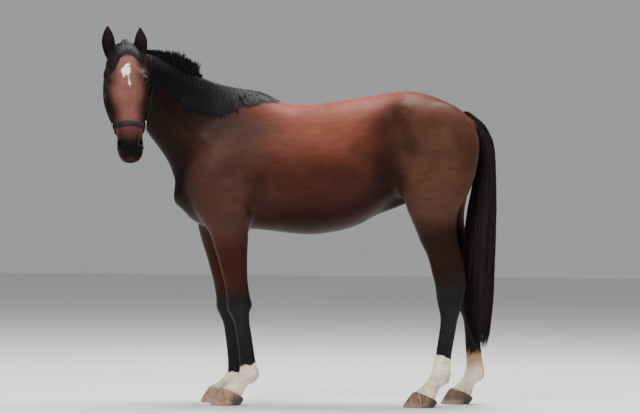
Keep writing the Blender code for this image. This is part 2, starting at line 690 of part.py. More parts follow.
def mane(tree):
    spine = between(NECK, 20)
    rows = []
    places = np.arange(0.90, 6.80, 0.30)
    edges = np.interp(places, [m[0] for m in MANE], [m[1] for m in MANE])
    for i, (place, low) in enumerate(zip(places, edges)):
        thin = min(1.0, 0.35 + 0.3 * i)
        row = spine[int(round(place * 20))]
        ahead = spine[int(round(place * 20)) + 4]
        top, bottom, half = Vector(row[0:3]), Vector(row[3:6]), row[6]
        up = (top - bottom).normalized()
        near = up.cross(Vector(ahead[0:3]) - top).normalized()
        if near.y > 0:
            near = -near
        origin = bottom.lerp(top, 0.74)
        low += 0.010 if i % 2 else -0.010
        reach = (low - origin.z) / up.z
        far, end = math.atan2(1.0, -0.34), math.atan2(reach, half * 0.95)
        line = []
        for share, thick in ((0.0, 0.007), (0.14, 0.012), (0.30, 0.014),
                             (0.55, 0.017), (0.80, 0.015), (1.0, 0.005)):
            angle = far + (end - far) * share
            line.append((origin, near * math.cos(angle) + up * math.sin(angle), thick * thin))
        rows.append(line)
    rings = []
    crest = spine[:, 0:3]
    for x, height in UPRIGHT:
        middle = Vector([float(np.interp(-x, -crest[:, 0], crest[:, k])) for k in range(3)])
        ahead = Vector([float(np.interp(-x + 0.03, -crest[:, 0], crest[:, k])) for k in range(3)]) - middle
        side = Vector((ahead.y, -ahead.x, 0)).normalized()
        up = Vector((0.12, 0, 1))
        root, tip = side * 0.012, side * 0.003
        rings.append([middle - root - up * 0.02, middle + root - up * 0.02, middle + tip + up * height,
                      middle - tip + up * height])
    return thinned(fused(merged([shell(tree, rows), skin_rings(bmesh.new(), rings)], "mane"), 0.0045), 440)


def forelock(tree):
    """Falls from the poll to both sides of the forehead, parted in the middle."""
    rows = [[] for i in range(5)]
    for root, tip, end, thick in FORELOCK:
        for i, row in enumerate(rows):
            t = i / 4
            a, s = -0.026 + (end + 0.026) * t, root + (tip - root) * t ** 0.8
            origin = at_head(max(a, 0.02) + 0.02, s * 0.4, -0.075)
            row.append((origin, at_head(a, s, 0.035) - origin, thick * (1.3 - 0.9 * t)))
    return placed(shell(tree, rows), "forelock")


def ear(name):
    """A cupped ear, open to the front."""
    place, length = EARS[name]
    root = at_head(*place)
    side = math.copysign(1, place[1])
    rise = (-DOWN * 0.92 + FACE * 0.39 + LEFT * side * 0.02).normalized()
    across = LEFT.copy() - FACE * side * 0.20
    across = (across - rise * across.dot(rise)).normalized()
    front = rise.cross(across).normalized()
    if front.dot(FACE) < 0:
        front = -front
    rings = []
    spread = [math.radians(v) for v in (-96, -58, 0, 58, 96)]
    for t, half, depth, lean in EAR:
        wall = min(EAR_WALL, half * 0.45)
        middle = root + rise * (t * length) + front * lean
        outer = [middle + across * half * math.sin(v) - front * depth * math.cos(v) for v in spread]
        hollow = 0.35 if t <= 0 else 1.0
        inner = [middle + across * (half - wall) * math.sin(v) * 0.96
                 - front * ((depth - wall) * math.cos(v) * hollow) for v in spread]
        rings.append(outer + inner[::-1])
    return placed(skin_rings(bmesh.new(), rings), name)


def ball(centre, radius, name, collection=None):
    bm = bmesh.new()
    bmesh.ops.create_uvsphere(bm, u_segments=12, v_segments=6, radius=radius)
    bmesh.ops.translate(bm, verts=bm.verts, vec=centre)
    return placed(bm, name, collection)


def torus(centre, axis, radius, wire, name, count=14, around=5):
    axis = axis.normalized()
    u = axis.orthogonal().normalized()
    v = axis.cross(u)
    bm = bmesh.new()
    made = []
    for i in range(count):
        out = u * math.cos(2 * math.pi * i / count) + v * math.sin(2 * math.pi * i / count)
        ring = []
        for j in range(around):
            angle = 2 * math.pi * (j + 0.5) / around
            spot = centre + out * (radius + wire * math.cos(angle)) + axis * wire * math.sin(angle)
            ring.append(bm.verts.new(spot))
        made.append(ring)
    for a, b in zip(made, made[1:] + made[:1]):
        for j in range(around):
            k = (j + 1) % around
            bm.faces.new((a[j], a[k], b[k], b[j]))
    bmesh.ops.recalc_face_normals(bm, faces=bm.faces)
    return placed(bm, name)


def halter(tree):
    made = []
    pairs = []
    for i in range(20):
        angle = 2 * math.pi * i / 20
        out = LEFT * math.cos(angle) + FACE * math.sin(angle)
        lower, upper = (NOSEBAND_AT + v * NOSEBAND_WIDTH / 2 for v in (-1, 1))
        pairs.append(((at_head(lower, 0, -0.075), out), (at_head(upper, 0, -0.075), out)))
    made.append(placed(strap(tree, pairs, STRAP_THICKNESS, closed=True), "noseband"))
    for side, name in ((1, "left"), (-1, "right")):
        pairs = []
        for a, n in CHEEK_PATH:
            edges = [(at_head(a, 0, n + v * CHEEK_WIDTH / 2), LEFT * side) for v in (-1, 1)]
            pairs.append(edges)
        made.append(placed(strap(tree, pairs, STRAP_THICKNESS), "cheek_strap_" + name))
        spot, out = on_surface(tree, at_head(NOSEBAND_AT, 0, -0.075), LEFT * side)
        centre = spot + out * (STRAP_THICKNESS + RING_WIRE + 0.0020)
        made.append(torus(centre, out, RING_RADIUS, RING_WIRE, "halter_ring_" + name))
    pairs = []
    a, n = CHEEK_PATH[-1]
    for i in range(12):
        angle = math.radians(58 + 115 * i / 11)
        out = LEFT * math.cos(angle) - DOWN * math.sin(angle)
        pairs.append([(at_head(a, 0, n + v * CHEEK_WIDTH / 2), out) for v in (-1, 1)])
    made.append(placed(strap(tree, pairs, STRAP_THICKNESS + 0.002), "crownpiece"))
    return made


def tail():
    rows = [((f, 0.004, z), (b, 0.004, z), w, 0.5, 2.2, 2.2) for f, b, z, w in TAIL]
    whole = placed(loft(rows, ring=10, steps=1), "tail")
    lower = whole.copy()
    lower.data = whole.data.copy()
    lower.name = "tail_end"
    horse.objects.link(lower)
    whole.name = "tail_top"
    for piece, side in ((whole, -1), (lower, 1)):
        middle = (0.800, 0, TAIL_CUT + side * (0.500 - GAP / 2))
        block = placed(box_plate(middle, (1, 0, 0), (0, 1, 0), 0.3, 0.3, 1.0), "block", cutters)
        boolean(piece, block)
        applied(piece)
        bpy.data.objects.remove(block)
    return whole, lower


def material(name, key):
    r, g, b, rough = COLOURS[key]
    made = bpy.data.materials.new(name)
    made.use_nodes = True
    shader = made.node_tree.nodes["Principled BSDF"]
    shader.inputs["Base Color"].default_value = (r, g, b, 1)
    shader.inputs["Roughness"].default_value = rough
    shader.inputs["Metallic"].default_value = 1.0 if key == "metal" else 0.0
    made.diffuse_color = (r, g, b, 1)
    return made


def kind(name):
    for start, key in (("hoof", "hoof"), ("eye", "eye"), ("halter_ring", "metal"), ("noseband", "leather"),
                       ("cheek", "leather"), ("crown", "leather"), ("mane", "hair"), ("forelock", "hair"),
                       ("tail", "hair"), ("lower", "dark coat"), ("ear", "dark coat")):
        if name.startswith(start):
            return key
    return "coat"


body = flesh()
tree = BVHTree.FromObject(body, bpy.context.evaluated_depsgraph_get())
clearance = swollen(body)
worn = halter(tree)
hair = [mane(tree), forelock(tree)]
ears = [ear(name) for name in EARS]
tails = tail()
room = {piece.name: swollen(piece) for piece in worn + ears}
for piece in worn + hair + ears + [tails[0]]:
    if not piece.name.startswith("halter_ring"):
        cut_by(piece, clearance)
for piece in hair + [p for p in worn if p.name == "crownpiece"]:
    for other in ears + (worn if piece in hair else []):
        if touching(piece, room[other.name]):
            cut_by(piece, room[other.name])
for cutter in room.values():
    bpy.data.objects.remove(cutter)
for side, name in ((1, "eye_left"), (-1, "eye_right")):
    centre = at_head(EYE[0], EYE[1] * side, EYE[2])
    ball(centre, EYE_RADIUS, name)
    socket = ball(centre, EYE_RADIUS + GAP, "socket", cutters)
    boolean(body, socket)
    applied(body)
    bpy.data.objects.remove(socket)
for knives in (coronet_cutters(), plates()):
    knife = merged(knives, "knife", cutters)
    boolean(body, knife)
    applied(body)
    bpy.data.objects.remove(knife)
parted(body)
bpy.data.objects.remove(body)
bpy.data.objects.remove(clearance)
for leg in HOOVES:
    hoof(leg)

final = Matrix.Translation((HINGE - CENTRE[0], -CENTRE[1], 0)) @ Matrix.Rotation(-TILT, 4, "Y")
final = final @ Matrix.Translation((-HINGE, 0, 0))
total = 0
for piece in horse.objects:
    piece.data.materials.clear()
    piece.data.materials.append(material(piece.name, kind(piece.name)))
    piece.data.transform(final)
    if piece.name.startswith("hoof"):
        for vertex in piece.data.vertices:
            if vertex.co.z < 0.001:
                vertex.co.z = 0.0
    piece.data.update()
    count = sum(len(p.vertices) - 2 for p in piece.data.polygons)
    total += count
    print(f"{piece.name:24s} {count}")
for piece in cutters.objects:
    piece.hide_render = True
    piece.display_type = "WIRE"
print("triangles", total)
corners = np.array([piece.matrix_world @ v.co for piece in horse.objects for v in piece.data.vertices])
print("bounds", corners.min(axis=0).round(4), corners.max(axis=0).round(4))
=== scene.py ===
import time
import bpy
import bmesh
import numpy as np
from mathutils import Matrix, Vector
from mathutils.bvhtree import BVHTree


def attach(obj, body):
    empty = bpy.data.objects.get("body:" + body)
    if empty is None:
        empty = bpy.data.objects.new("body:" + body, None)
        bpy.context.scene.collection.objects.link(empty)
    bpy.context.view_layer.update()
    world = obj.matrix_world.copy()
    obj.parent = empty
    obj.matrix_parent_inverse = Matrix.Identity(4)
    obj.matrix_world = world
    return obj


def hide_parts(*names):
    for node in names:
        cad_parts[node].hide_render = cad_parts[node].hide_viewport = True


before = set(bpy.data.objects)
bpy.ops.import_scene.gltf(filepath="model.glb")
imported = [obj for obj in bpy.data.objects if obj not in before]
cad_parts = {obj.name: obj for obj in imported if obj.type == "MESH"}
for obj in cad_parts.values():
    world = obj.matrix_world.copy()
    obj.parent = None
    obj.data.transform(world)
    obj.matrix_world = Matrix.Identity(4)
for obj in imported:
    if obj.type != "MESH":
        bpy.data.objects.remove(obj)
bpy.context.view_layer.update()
started = time.time()


def report(stage):
    print(f"{time.time() - started:6.1f} s  {stage}")


# where the drawing below stands: turned about the hinge so that its ground is level, then centred
stand = {"tilt": 0.55, "hinge": 0.560, "middle": (-0.1092, -0.0899)}


def settled(points):
    # a turn about the cross axis through the hinge, then a shift of the middle to the origin
    turn = np.radians(stand["tilt"])
    x, z = points[..., 0] - stand["hinge"], points[..., 2]
    made = np.empty(points.shape)
    made[..., 0] = x * np.cos(turn) - z * np.sin(turn) + stand["hinge"] - stand["middle"][0]
    made[..., 1] = points[..., 1] - stand["middle"][1]
    made[..., 2] = x * np.sin(turn) + z * np.cos(turn)
    return made


def unit(vectors):
    return vectors / np.maximum(np.linalg.norm(vectors, axis=-1, keepdims=True), 1e-12)


def lengths(vectors):
    return np.linalg.norm(vectors, axis=-1)


def beside(vectors, axis):
    # the part of each vector across the axis, made one long
    return unit(vectors - axis * np.sum(vectors * axis, -1, keepdims=True))


def eased(low, high, value):
    # 0 below low, 1 above high, and a smooth step between
    t = np.clip((value - low) / (high - low), 0, 1)
    return t * t * (3 - 2 * t)


def bell(distance, width):
    return np.exp(-(distance / width) ** 2)


# meshes from arrays, and arrays from meshes

def meshFrom(name, points, *faceSets):
    # each face set is an array with one row of corner numbers for each face
    mesh = bpy.data.meshes.new(name)
    mesh.vertices.add(len(points))
    mesh.vertices.foreach_set("co", np.asarray(points, np.float32).ravel())
    corners = np.concatenate([faces.ravel() for faces in faceSets])
    sizes = np.concatenate([np.full(len(faces), faces.shape[1]) for faces in faceSets])
    mesh.loops.add(len(corners))
    mesh.loops.foreach_set("vertex_index", corners.astype(np.int32))
    mesh.polygons.add(len(sizes))
    mesh.polygons.foreach_set("loop_start", np.concatenate([[0], np.cumsum(sizes)[:-1]]).astype(np.int32))
    mesh.update(calc_edges=True)
    mesh.shade_smooth()
    return mesh


def pieceFrom(name, points, *faceSets):
    obj = bpy.data.objects.new(name, meshFrom(name, points, *faceSets))
    bpy.context.scene.collection.objects.link(obj)
    return obj


def arrayOf(items, name, width, kind=float):
    flat = np.empty(len(items) * width, kind)
    items.foreach_get(name, flat)
    return flat.reshape(-1, width)


def pointsOf(mesh):
    return arrayOf(mesh.vertices, "co", 3)


def normalsOf(mesh):
    return arrayOf(mesh.vertices, "normal", 3)


def edgesOf(mesh):
    return arrayOf(mesh.edges, "vertices", 2, np.int32)


def trianglesOf(mesh):
    mesh.calc_loop_triangles()
    return arrayOf(mesh.loop_triangles, "vertices", 3, np.int32)


def setPoints(mesh, points):
    mesh.vertices.foreach_set("co", points.astype(np.float32).ravel())
    mesh.update()


def applied(obj):
    mesh = bpy.data.meshes.new_from_object(obj.evaluated_get(bpy.context.evaluated_depsgraph_get()))
    obj.modifiers.clear()
    obj.data = mesh
    return obj


def fused(obj, size):
    remesh = obj.modifiers.new("Fuse", "REMESH")
    remesh.mode = "VOXEL"
    remesh.voxel_size = size
    return applied(obj)


def gridFaces(rows, columns, wrapped=True, start=0):
    # the four corners of each cell between neighbouring rows and columns
    i, j = np.meshgrid(np.arange(rows - 1), np.arange(columns if wrapped else columns - 1), indexing="ij")
    a, b = i * columns + j, i * columns + (j + 1) % columns
    return np.stack([a, b, b + columns, a + columns], -1).reshape(-1, 4) + start


def turnedOut(piece):
    # faces the surface outwards if its volume comes out negative
    bm = bmesh.new()
    bm.from_mesh(piece.data)
    if bm.calc_volume(signed=True) < 0:
        bmesh.ops.reverse_faces(bm, faces=bm.faces)
        bm.to_mesh(piece.data)
    bm.free()
    return piece


def tubePiece(name, grid):
    # one closed tube in the row's frame, facing outwards
    points, cells, caps = joined([grid])
    return turnedOut(pieceFrom(name, settled(points), cells, *caps))


def joined(grids):
    # closed tubes, each a grid of rings, with a flat end at its first and last ring
    points, cells, ends, start = [], [], [], 0
    for grid in grids:
        rows, columns = grid.shape[:2]
        points.append(grid.reshape(-1, 3))
        cells.append(gridFaces(rows, columns, True, start))
        ring = np.arange(columns) + start
        ends.append([ring[::-1], ring + (rows - 1) * columns])
        start += rows * columns
    widths = sorted({len(pair[0]) for pair in ends})
    caps = [np.array([ring for pair in ends for ring in pair if len(ring) == width]) for width in widths]
    return np.vstack(points), np.vstack(cells), caps


def relaxed(points, edges, rounds, weight=None):
    # every round moves a point half of the way to the mean of its neighbours, times its weight
    points = points.copy()
    chosen = np.arange(len(points)) if weight is None else np.flatnonzero(weight > 0.01)
    flag = np.zeros(len(points), bool)
    flag[chosen] = True
    ahead, behind = edges[flag[edges[:, 0]]], edges[flag[edges[:, 1]]][:, ::-1]
    pairs = np.vstack([ahead, behind])
    number = np.full(len(points), -1)
    number[chosen] = np.arange(len(chosen))
    home, other = number[pairs[:, 0]], pairs[:, 1]
    degree = np.maximum(np.bincount(home, minlength=len(chosen)), 1)[:, None]
    pull = 0.5 if weight is None else 0.5 * weight[chosen][:, None]
    for turn in range(rounds):
        near = points[other]
        total = np.stack([np.bincount(home, near[:, k], len(chosen)) for k in range(3)], 1)
        points[chosen] += (total / degree - points[chosen]) * pull
    return points


def curveThrough(table, steps):
    # Catmull-Rom: each span is a cubic whose slopes come from the rows on both sides
    rows = np.array(table, float)
    ends = np.vstack([2 * rows[0] - rows[1], rows, 2 * rows[-1] - rows[-2]])
    p0, p1, p2, p3 = (ends[k:len(ends) - 3 + k, None, :] for k in range(4))
    t = (np.arange(steps) / steps)[None, :, None]
    square, cube = 2 * p0 - 5 * p1 + 4 * p2 - p3, 3 * p1 - p0 - 3 * p2 + p3
    made = 2 * p1 + (p2 - p0) * t + square * t ** 2 + cube * t ** 3
    return np.vstack([0.5 * made.reshape(-1, rows.shape[1]), rows[-1:]])


def loft(table, around=64, steps=10, dome=0.6):
    # rings of a superellipse: across by the half width, up and down from the level of the widest point
    rows = curveThrough(table, steps)
    top, bottom = rows[:, 0:3], rows[:, 3:6]
    width, level, above, below = rows[:, 6:10].T[:, :, None]
    height = np.linalg.norm(top - bottom, axis=1, keepdims=True)
    up = unit(top - bottom)
    centre = bottom + (top - bottom) * level
    along = unit(np.gradient(centre, axis=0))
    side = unit(np.cross(along, up))
    angle = np.arange(around) * 2 * np.pi / around
    c, s = np.cos(angle)[None, :], np.sin(angle)[None, :]
    power = 2 / np.where(s >= 0, above, below)
    v = np.sign(s) * np.abs(s) ** power
    u = np.sign(c) * np.abs(c) ** power
    reach = np.where(s >= 0, height * (1 - level), height * level)
    rings = side[:, None, :] * (u * width)[..., None] + up[:, None, :] * (v * reach)[..., None]
    turn = np.radians([25, 50, 72, 86])[:, None, None]
    first, last = (min(width[i, 0], height[i, 0] / 2) * dome for i in (0, -1))
    front = centre[0] - along[0] * first * np.sin(turn[::-1]) + rings[0] * np.cos(turn[::-1])
    back = centre[-1] + along[-1] * last * np.sin(turn) + rings[-1] * np.cos(turn)
    return np.concatenate([front, centre[:, None, :] + rings, back])


# the horse's frame of sizes: stations of the trunk, neck, shoulder, thigh and legs

body = {
    "trunk": [  # x, back, belly, half width, level of the widest point, roundness above and below
        (-0.712, 1.170, 1.000, 0.085, 0.48, 2.0, 2.0), (-0.670, 1.290, 0.955, 0.135, 0.45, 2.0, 2.1),
        (-0.600, 1.400, 0.912, 0.168, 0.45, 2.0, 2.2), (-0.500, 1.520, 0.898, 0.186, 0.42, 1.8, 2.2),
        (-0.420, 1.590, 0.893, 0.200, 0.42, 1.7, 2.1), (-0.350, 1.614, 0.892, 0.212, 0.42, 1.6, 2.0),
        (-0.290, 1.598, 0.888, 0.226, 0.43, 1.6, 2.0), (-0.220, 1.558, 0.880, 0.244, 0.45, 1.8, 2.0),
        (-0.140, 1.529, 0.870, 0.262, 0.46, 2.0, 2.0), (-0.040, 1.531, 0.865, 0.280, 0.46, 2.1, 2.0),
        (0.060, 1.546, 0.876, 0.290, 0.46, 2.1, 2.0), (0.150, 1.560, 0.896, 0.288, 0.47, 2.1, 2.0),
        (0.230, 1.571, 0.930, 0.276, 0.48, 2.1, 2.0), (0.310, 1.583, 0.984, 0.256, 0.50, 2.1, 2.0),
        (0.380, 1.594, 1.030, 0.248, 0.58, 2.1, 2.0), (0.440, 1.599, 1.060, 0.258, 0.66, 2.1, 2.0),
        (0.520, 1.589, 1.080, 0.256, 0.62, 2.0, 2.0), (0.600, 1.562, 1.100, 0.232, 0.60, 1.9, 2.0),
        (0.670, 1.533, 1.140, 0.190, 0.60, 1.8, 2.0), (0.730, 1.496, 1.220, 0.130, 0.60, 1.8, 2.0),
        (0.760, 1.462, 1.290, 0.085, 0.60, 2.0, 2.0),
    ],
    "neck": [  # crest, underline, half width, level, roundness above and below
        (-0.250, 0.000, 1.560, -0.560, 0.000, 0.960, 0.175, 0.45, 1.6, 2.2),
        (-0.340, 0.000, 1.606, -0.705, 0.000, 1.040, 0.150, 0.45, 1.6, 2.2),
        (-0.435, -0.005, 1.625, -0.745, -0.005, 1.125, 0.130, 0.44, 1.6, 2.1),
        (-0.532, -0.020, 1.650, -0.757, -0.022, 1.200, 0.112, 0.43, 1.6, 2.1),
        (-0.632, -0.050, 1.693, -0.794, -0.055, 1.270, 0.098, 0.42, 1.6, 2.1),
        (-0.730, -0.100, 1.738, -0.841, -0.105, 1.338, 0.088, 0.42, 1.6, 2.1),
        (-0.811, -0.160, 1.773, -0.883, -0.160, 1.406, 0.082, 0.45, 1.7, 2.1),
        (-0.880, -0.225, 1.790, -0.920, -0.210, 1.478, 0.078, 0.50, 1.8, 2.1),
        (-0.940, -0.290, 1.782, -0.950, -0.250, 1.560, 0.072, 0.50, 2.0, 2.1),
    ],
    "shoulder": [  # x in front, x behind, height, distance from the middle, half width
        (-0.575, -0.354, 0.900, 0.132, 0.083), (-0.625, -0.345, 0.985, 0.135, 0.092),
        (-0.665, -0.338, 1.090, 0.135, 0.100), (-0.668, -0.322, 1.180, 0.130, 0.098),
        (-0.625, -0.300, 1.280, 0.120, 0.084), (-0.555, -0.275, 1.380, 0.105, 0.062),
        (-0.470, -0.260, 1.470, 0.085, 0.040),
    ],
    "thigh": [
        (0.419, 0.737, 1.040, 0.140, 0.108), (0.396, 0.758, 1.090, 0.142, 0.118),
        (0.388, 0.778, 1.140, 0.143, 0.124), (0.405, 0.795, 1.216, 0.143, 0.128),
        (0.430, 0.806, 1.290, 0.140, 0.126), (0.460, 0.800, 1.360, 0.132, 0.116),
        (0.480, 0.765, 1.430, 0.118, 0.100), (0.500, 0.710, 1.490, 0.100, 0.080),
    ],
    "sheath": [
        (0.270, 1.000, 0.950, 0.026, 0.50, 2.0, 2.0), (0.330, 1.035, 0.984, 0.036, 0.50, 2.0, 2.0),
        (0.380, 1.065, 1.012, 0.038, 0.50, 2.0, 2.0), (0.405, 1.080, 1.035, 0.030, 0.50, 2.0, 2.0),
    ],
}
legs = {  # the four joints of each
    "foreLeft": ((-0.462, -0.130, 0.930), (-0.405, -0.118, 0.510),
                 (-0.361, -0.108, 0.172), (-0.440, -0.105, 0.076)),
    "foreRight": ((-0.526, 0.130, 0.930), (-0.468, 0.121, 0.505),
                  (-0.430, 0.114, 0.162), (-0.508, 0.112, 0.066)),
    "hindLeft": ((0.578, -0.140, 1.040), (0.672, -0.142, 0.600),
                 (0.603, -0.145, 0.165), (0.529, -0.148, 0.052)),
    "hindRight": ((0.620, 0.140, 1.040), (0.767, 0.137, 0.600),
                  (0.793, 0.135, 0.165), (0.728, 0.135, 0.054)),
}
legProfiles = {  # which bone, place along it, reach in front, reach behind, half width
    "fore": [
        (0, 0.00, 0.108, 0.108, 0.084), (0, 0.20, 0.094, 0.094, 0.073), (0, 0.45, 0.075, 0.075, 0.060),
        (0, 0.70, 0.063, 0.062, 0.051), (0, 0.88, 0.061, 0.061, 0.049), (1, 0.00, 0.064, 0.064, 0.053),
        (1, 0.12, 0.057, 0.053, 0.047), (1, 0.26, 0.041, 0.043, 0.034), (1, 0.50, 0.038, 0.044, 0.030),
        (1, 0.75, 0.038, 0.046, 0.030), (1, 0.90, 0.042, 0.050, 0.036), (2, 0.00, 0.046, 0.056, 0.041),
        (2, 0.45, 0.038, 0.043, 0.034), (2, 0.80, 0.046, 0.048, 0.042), (2, 1.10, 0.062, 0.060, 0.052),
    ],
    "hind": [
        (0, 0.00, 0.156, 0.156, 0.110), (0, 0.23, 0.136, 0.095, 0.086), (0, 0.45, 0.116, 0.074, 0.066),
        (0, 0.57, 0.102, 0.072, 0.058), (0, 0.68, 0.097, 0.075, 0.052), (0, 0.80, 0.096, 0.076, 0.048),
        (0, 0.91, 0.093, 0.070, 0.047), (1, 0.00, 0.096, 0.060, 0.049), (1, 0.14, 0.082, 0.057, 0.047),
        (1, 0.255, 0.064, 0.052, 0.042), (1, 0.37, 0.046, 0.046, 0.035), (1, 0.50, 0.042, 0.046, 0.032),
        (1, 0.70, 0.042, 0.044, 0.032), (1, 0.85, 0.042, 0.046, 0.034), (2, 0.00, 0.050, 0.054, 0.041),
        (2, 0.45, 0.041, 0.042, 0.035), (2, 0.80, 0.048, 0.047, 0.042), (2, 1.10, 0.062, 0.060, 0.051),
    ],
}
hoofSizes = {  # toe and heel on the ground, front and back of the coronet (x, z), half width
    "foreLeft": (-0.555, -0.402, (-0.499, 0.100), (-0.386, 0.054), 0.064),
    "foreRight": (-0.616, -0.467, (-0.566, 0.092), (-0.452, 0.048), 0.064),
    "hindLeft": (0.411, 0.572, (0.468, 0.079), (0.586, 0.041), 0.060),
    "hindRight": (0.616, 0.765, (0.669, 0.082), (0.784, 0.042), 0.060),
}
head = {
    "poll": (-0.966, -0.290, 1.808), "turn": (94.8, 22.0, 2.8),  # degrees: turned aside, pitched, tilted
    "stations": [  # distance from the poll, face line, jaw line, half width, level, roundness above and below
        (0.000, -0.004, -0.120, 0.072, 0.50, 2.0, 2.0), (0.045, 0.018, -0.190, 0.091, 0.60, 2.2, 2.1),
        (0.095, 0.032, -0.240, 0.104, 0.66, 2.3, 2.1), (0.150, 0.038, -0.262, 0.113, 0.70, 2.4, 2.2),
        (0.200, 0.037, -0.262, 0.115, 0.70, 2.4, 2.2), (0.250, 0.031, -0.245, 0.114, 0.60, 2.1, 2.2),
        (0.300, 0.021, -0.215, 0.108, 0.50, 2.0, 2.2), (0.350, 0.011, -0.185, 0.096, 0.46, 2.0, 2.2),
        (0.400, 0.002, -0.162, 0.081, 0.47, 2.1, 2.2), (0.450, -0.005, -0.146, 0.070, 0.50, 2.2, 2.2),
        (0.495, -0.012, -0.138, 0.066, 0.54, 2.3, 2.2), (0.532, -0.022, -0.136, 0.065, 0.57, 2.3, 2.2),
        (0.563, -0.040, -0.130, 0.058, 0.55, 2.2, 2.2), (0.584, -0.060, -0.115, 0.044, 0.50, 2.1, 2.1),
    ],
    "ears": {"left": (0.042, 0.077, -0.045, 0.144), "right": (0.036, -0.079, -0.045, 0.154)},  # root, length
    "ear": [  # place along it, half width, depth of the cup, lean, how far round the wall goes (degrees)
        (-0.14, 0.014, 0.012, 0.000, 140), (0.00, 0.023, 0.020, 0.000, 138), (0.14, 0.029, 0.024, 0.002, 122),
        (0.30, 0.034, 0.026, 0.004, 106), (0.48, 0.035, 0.024, 0.006, 97), (0.65, 0.030, 0.018, 0.006, 95),
        (0.80, 0.021, 0.012, 0.004, 96), (0.92, 0.011, 0.007, 0.000, 98), (0.985, 0.005, 0.004, -0.004, 100),
    ],
    "earWall": 0.0068,
}


def headAxes():
    yaw, pitch, roll = np.radians(head["turn"])
    facing = np.array([-np.cos(yaw), -np.sin(yaw), 0])
    left = np.array([-facing[1], facing[0], 0])
    down = unit(facing * np.sin(pitch) + np.array([0, 0, -np.cos(pitch)]) + left * np.tan(roll))
    left = unit(left - down * (left @ down))
    return np.stack([down, left, unit(np.cross(down, left))])


headTurn = headAxes()  # rows: down the face, to the left, out of the face
poll = np.array(head["poll"])


def atHead(along, side, normal):
    return poll + np.stack(np.broadcast_arrays(along, side, normal), -1) @ headTurn


def inHead(points):
    return (points - poll) @ headTurn.T


def folded(points):
    # both sides of the middle brought onto one
    return np.stack([points[:, 0], np.abs(points[:, 1]), points[:, 2]], 1)


def fromHead(points, along, normal, across=0):
    # how far each point is from a place in the head's own axes
    return lengths(points - atHead(along, across, normal))


def nearHead(points, along, normal, reach, side=-0.17):
    # within reach of a place in the head, on the side that the head is turned to
    return (fromHead(points, along, normal) < reach) & (points[:, 1] < side)


# stations for the loft: top, bottom, half width, level of the widest point, roundness above and below

def flatStations(table):
    return [(x, 0, top, x, 0, bottom, *rest) for x, top, bottom, *rest in table]


def uprightStations(table, side):
    return [(front, y * side, z, back, y * side, z, *limbSection(half)) for front, back, z, y, half in table]


def limbSection(half):
    return half, 0.5, 2.1, 2.1


def legStations(leg):
    path, rows = np.array(legs[leg]), []
    for bone, t, front, back, width in legProfiles[leg[:4]]:
        line = unit(path[bone + 1] - path[bone])
        if t == 0 and bone:
            line = unit(line + unit(path[bone] - path[bone - 1]))
        forward = unit(np.array([line[2], 0, -line[0]]))
        centre = path[bone] + (path[bone + 1] - path[bone]) * t
        rows.append((*(centre + forward * front), *(centre - forward * back), *limbSection(width)))
    return rows


def headStations():
    return [(*atHead(along, 0, top), *atHead(along, 0, bottom), *rest)
            for along, top, bottom, *rest in head["stations"]]


def legSpot(leg, bone, t, forward, out):
    # a place beside a bone: along it, in front of it, and out from the horse's middle
    path = np.array(legs[leg])
    line = unit(path[bone + 1] - path[bone])
    spot = path[bone] + (path[bone + 1] - path[bone]) * t + np.array([line[2], 0, -line[0]]) * forward
    return spot + np.array([0, out * np.sign(path[0, 1]), 0])


def earGrid(side):
    # a cup: an outer arc from rim to rim and an inner arc back, carried up the ear
    along, aside, normal, length = head["ears"][side]
    sign = np.sign(aside)
    down, left, face = headTurn
    rise = unit(-down * 0.92 + face * 0.39 + left * sign * 0.02)
    across = left - face * sign * 0.20
    across = unit(across - rise * (across @ rise))
    front = unit(np.cross(rise, across))
    front = front if front @ face > 0 else -front
    t, half, depth, lean, reach = curveThrough(head["ear"], 6).T[:, :, None]
    v = np.linspace(-1, 1, 25)[None, :] * np.radians(reach)
    wall = np.minimum(head["earWall"], half * 0.42)
    hollow = 0.3 + 0.7 * eased(-0.05, 0.12, t)
    middle = atHead(along, aside, normal) + rise * (t * length)[..., None] + front * lean[..., None]
    outer = middle + across * (half * np.sin(v))[..., None] - front * (depth * np.cos(v))[..., None]
    inner = middle + across * ((half - wall) * np.sin(v) * 0.95)[..., None]
    inner = inner - front * ((depth - wall) * np.cos(v) * hollow)[..., None]
    return np.concatenate([outer, inner[:, ::-1]], 1), across, front


# relief: every stroke is a line of places, how wide it reaches and how high it lifts the skin

def pathDistance(points, path):
    path = np.atleast_2d(np.array(path, float))
    if len(path) == 1:
        return lengths(points - path[0]), np.full(len(points), 0.5)
    best, along, done = np.full(len(points), 9.0), np.zeros(len(points)), 0.0
    length = lengths(np.diff(path, axis=0))
    for a, b, step in zip(path, path[1:], length):
        t = np.clip((points - a) @ (b - a) / step ** 2, 0, 1)
        away = lengths(points - a - t[:, None] * (b - a))
        along = np.where(away < best, (done + t * step) / length.sum(), along)
        best = np.minimum(best, away)
        done += step
    return best, along


def lift(points, strokes):
    # adds up the strokes: height times a bell curve of distance over reach; thin ones fade at the ends
    total = np.zeros(len(points))
    for path, reach, height in strokes:
        path = np.atleast_2d(np.array(path, float))
        flat = np.array([1, 0.35 if path[:, 1].min() > 0.15 else 1, 1])  # on the flanks depth counts for less
        path, places = path * flat, points * flat
        near = np.all((places > path.min(0) - reach * 2.6) & (places < path.max(0) + reach * 2.6), axis=1)
        away, along = pathDistance(places[near], path)
        fade = eased(0, 0.3, along) * eased(1, 0.7, along) if len(path) > 1 and reach < 0.027 else 1
        total[near] += height * fade * bell(away, reach)
    return total


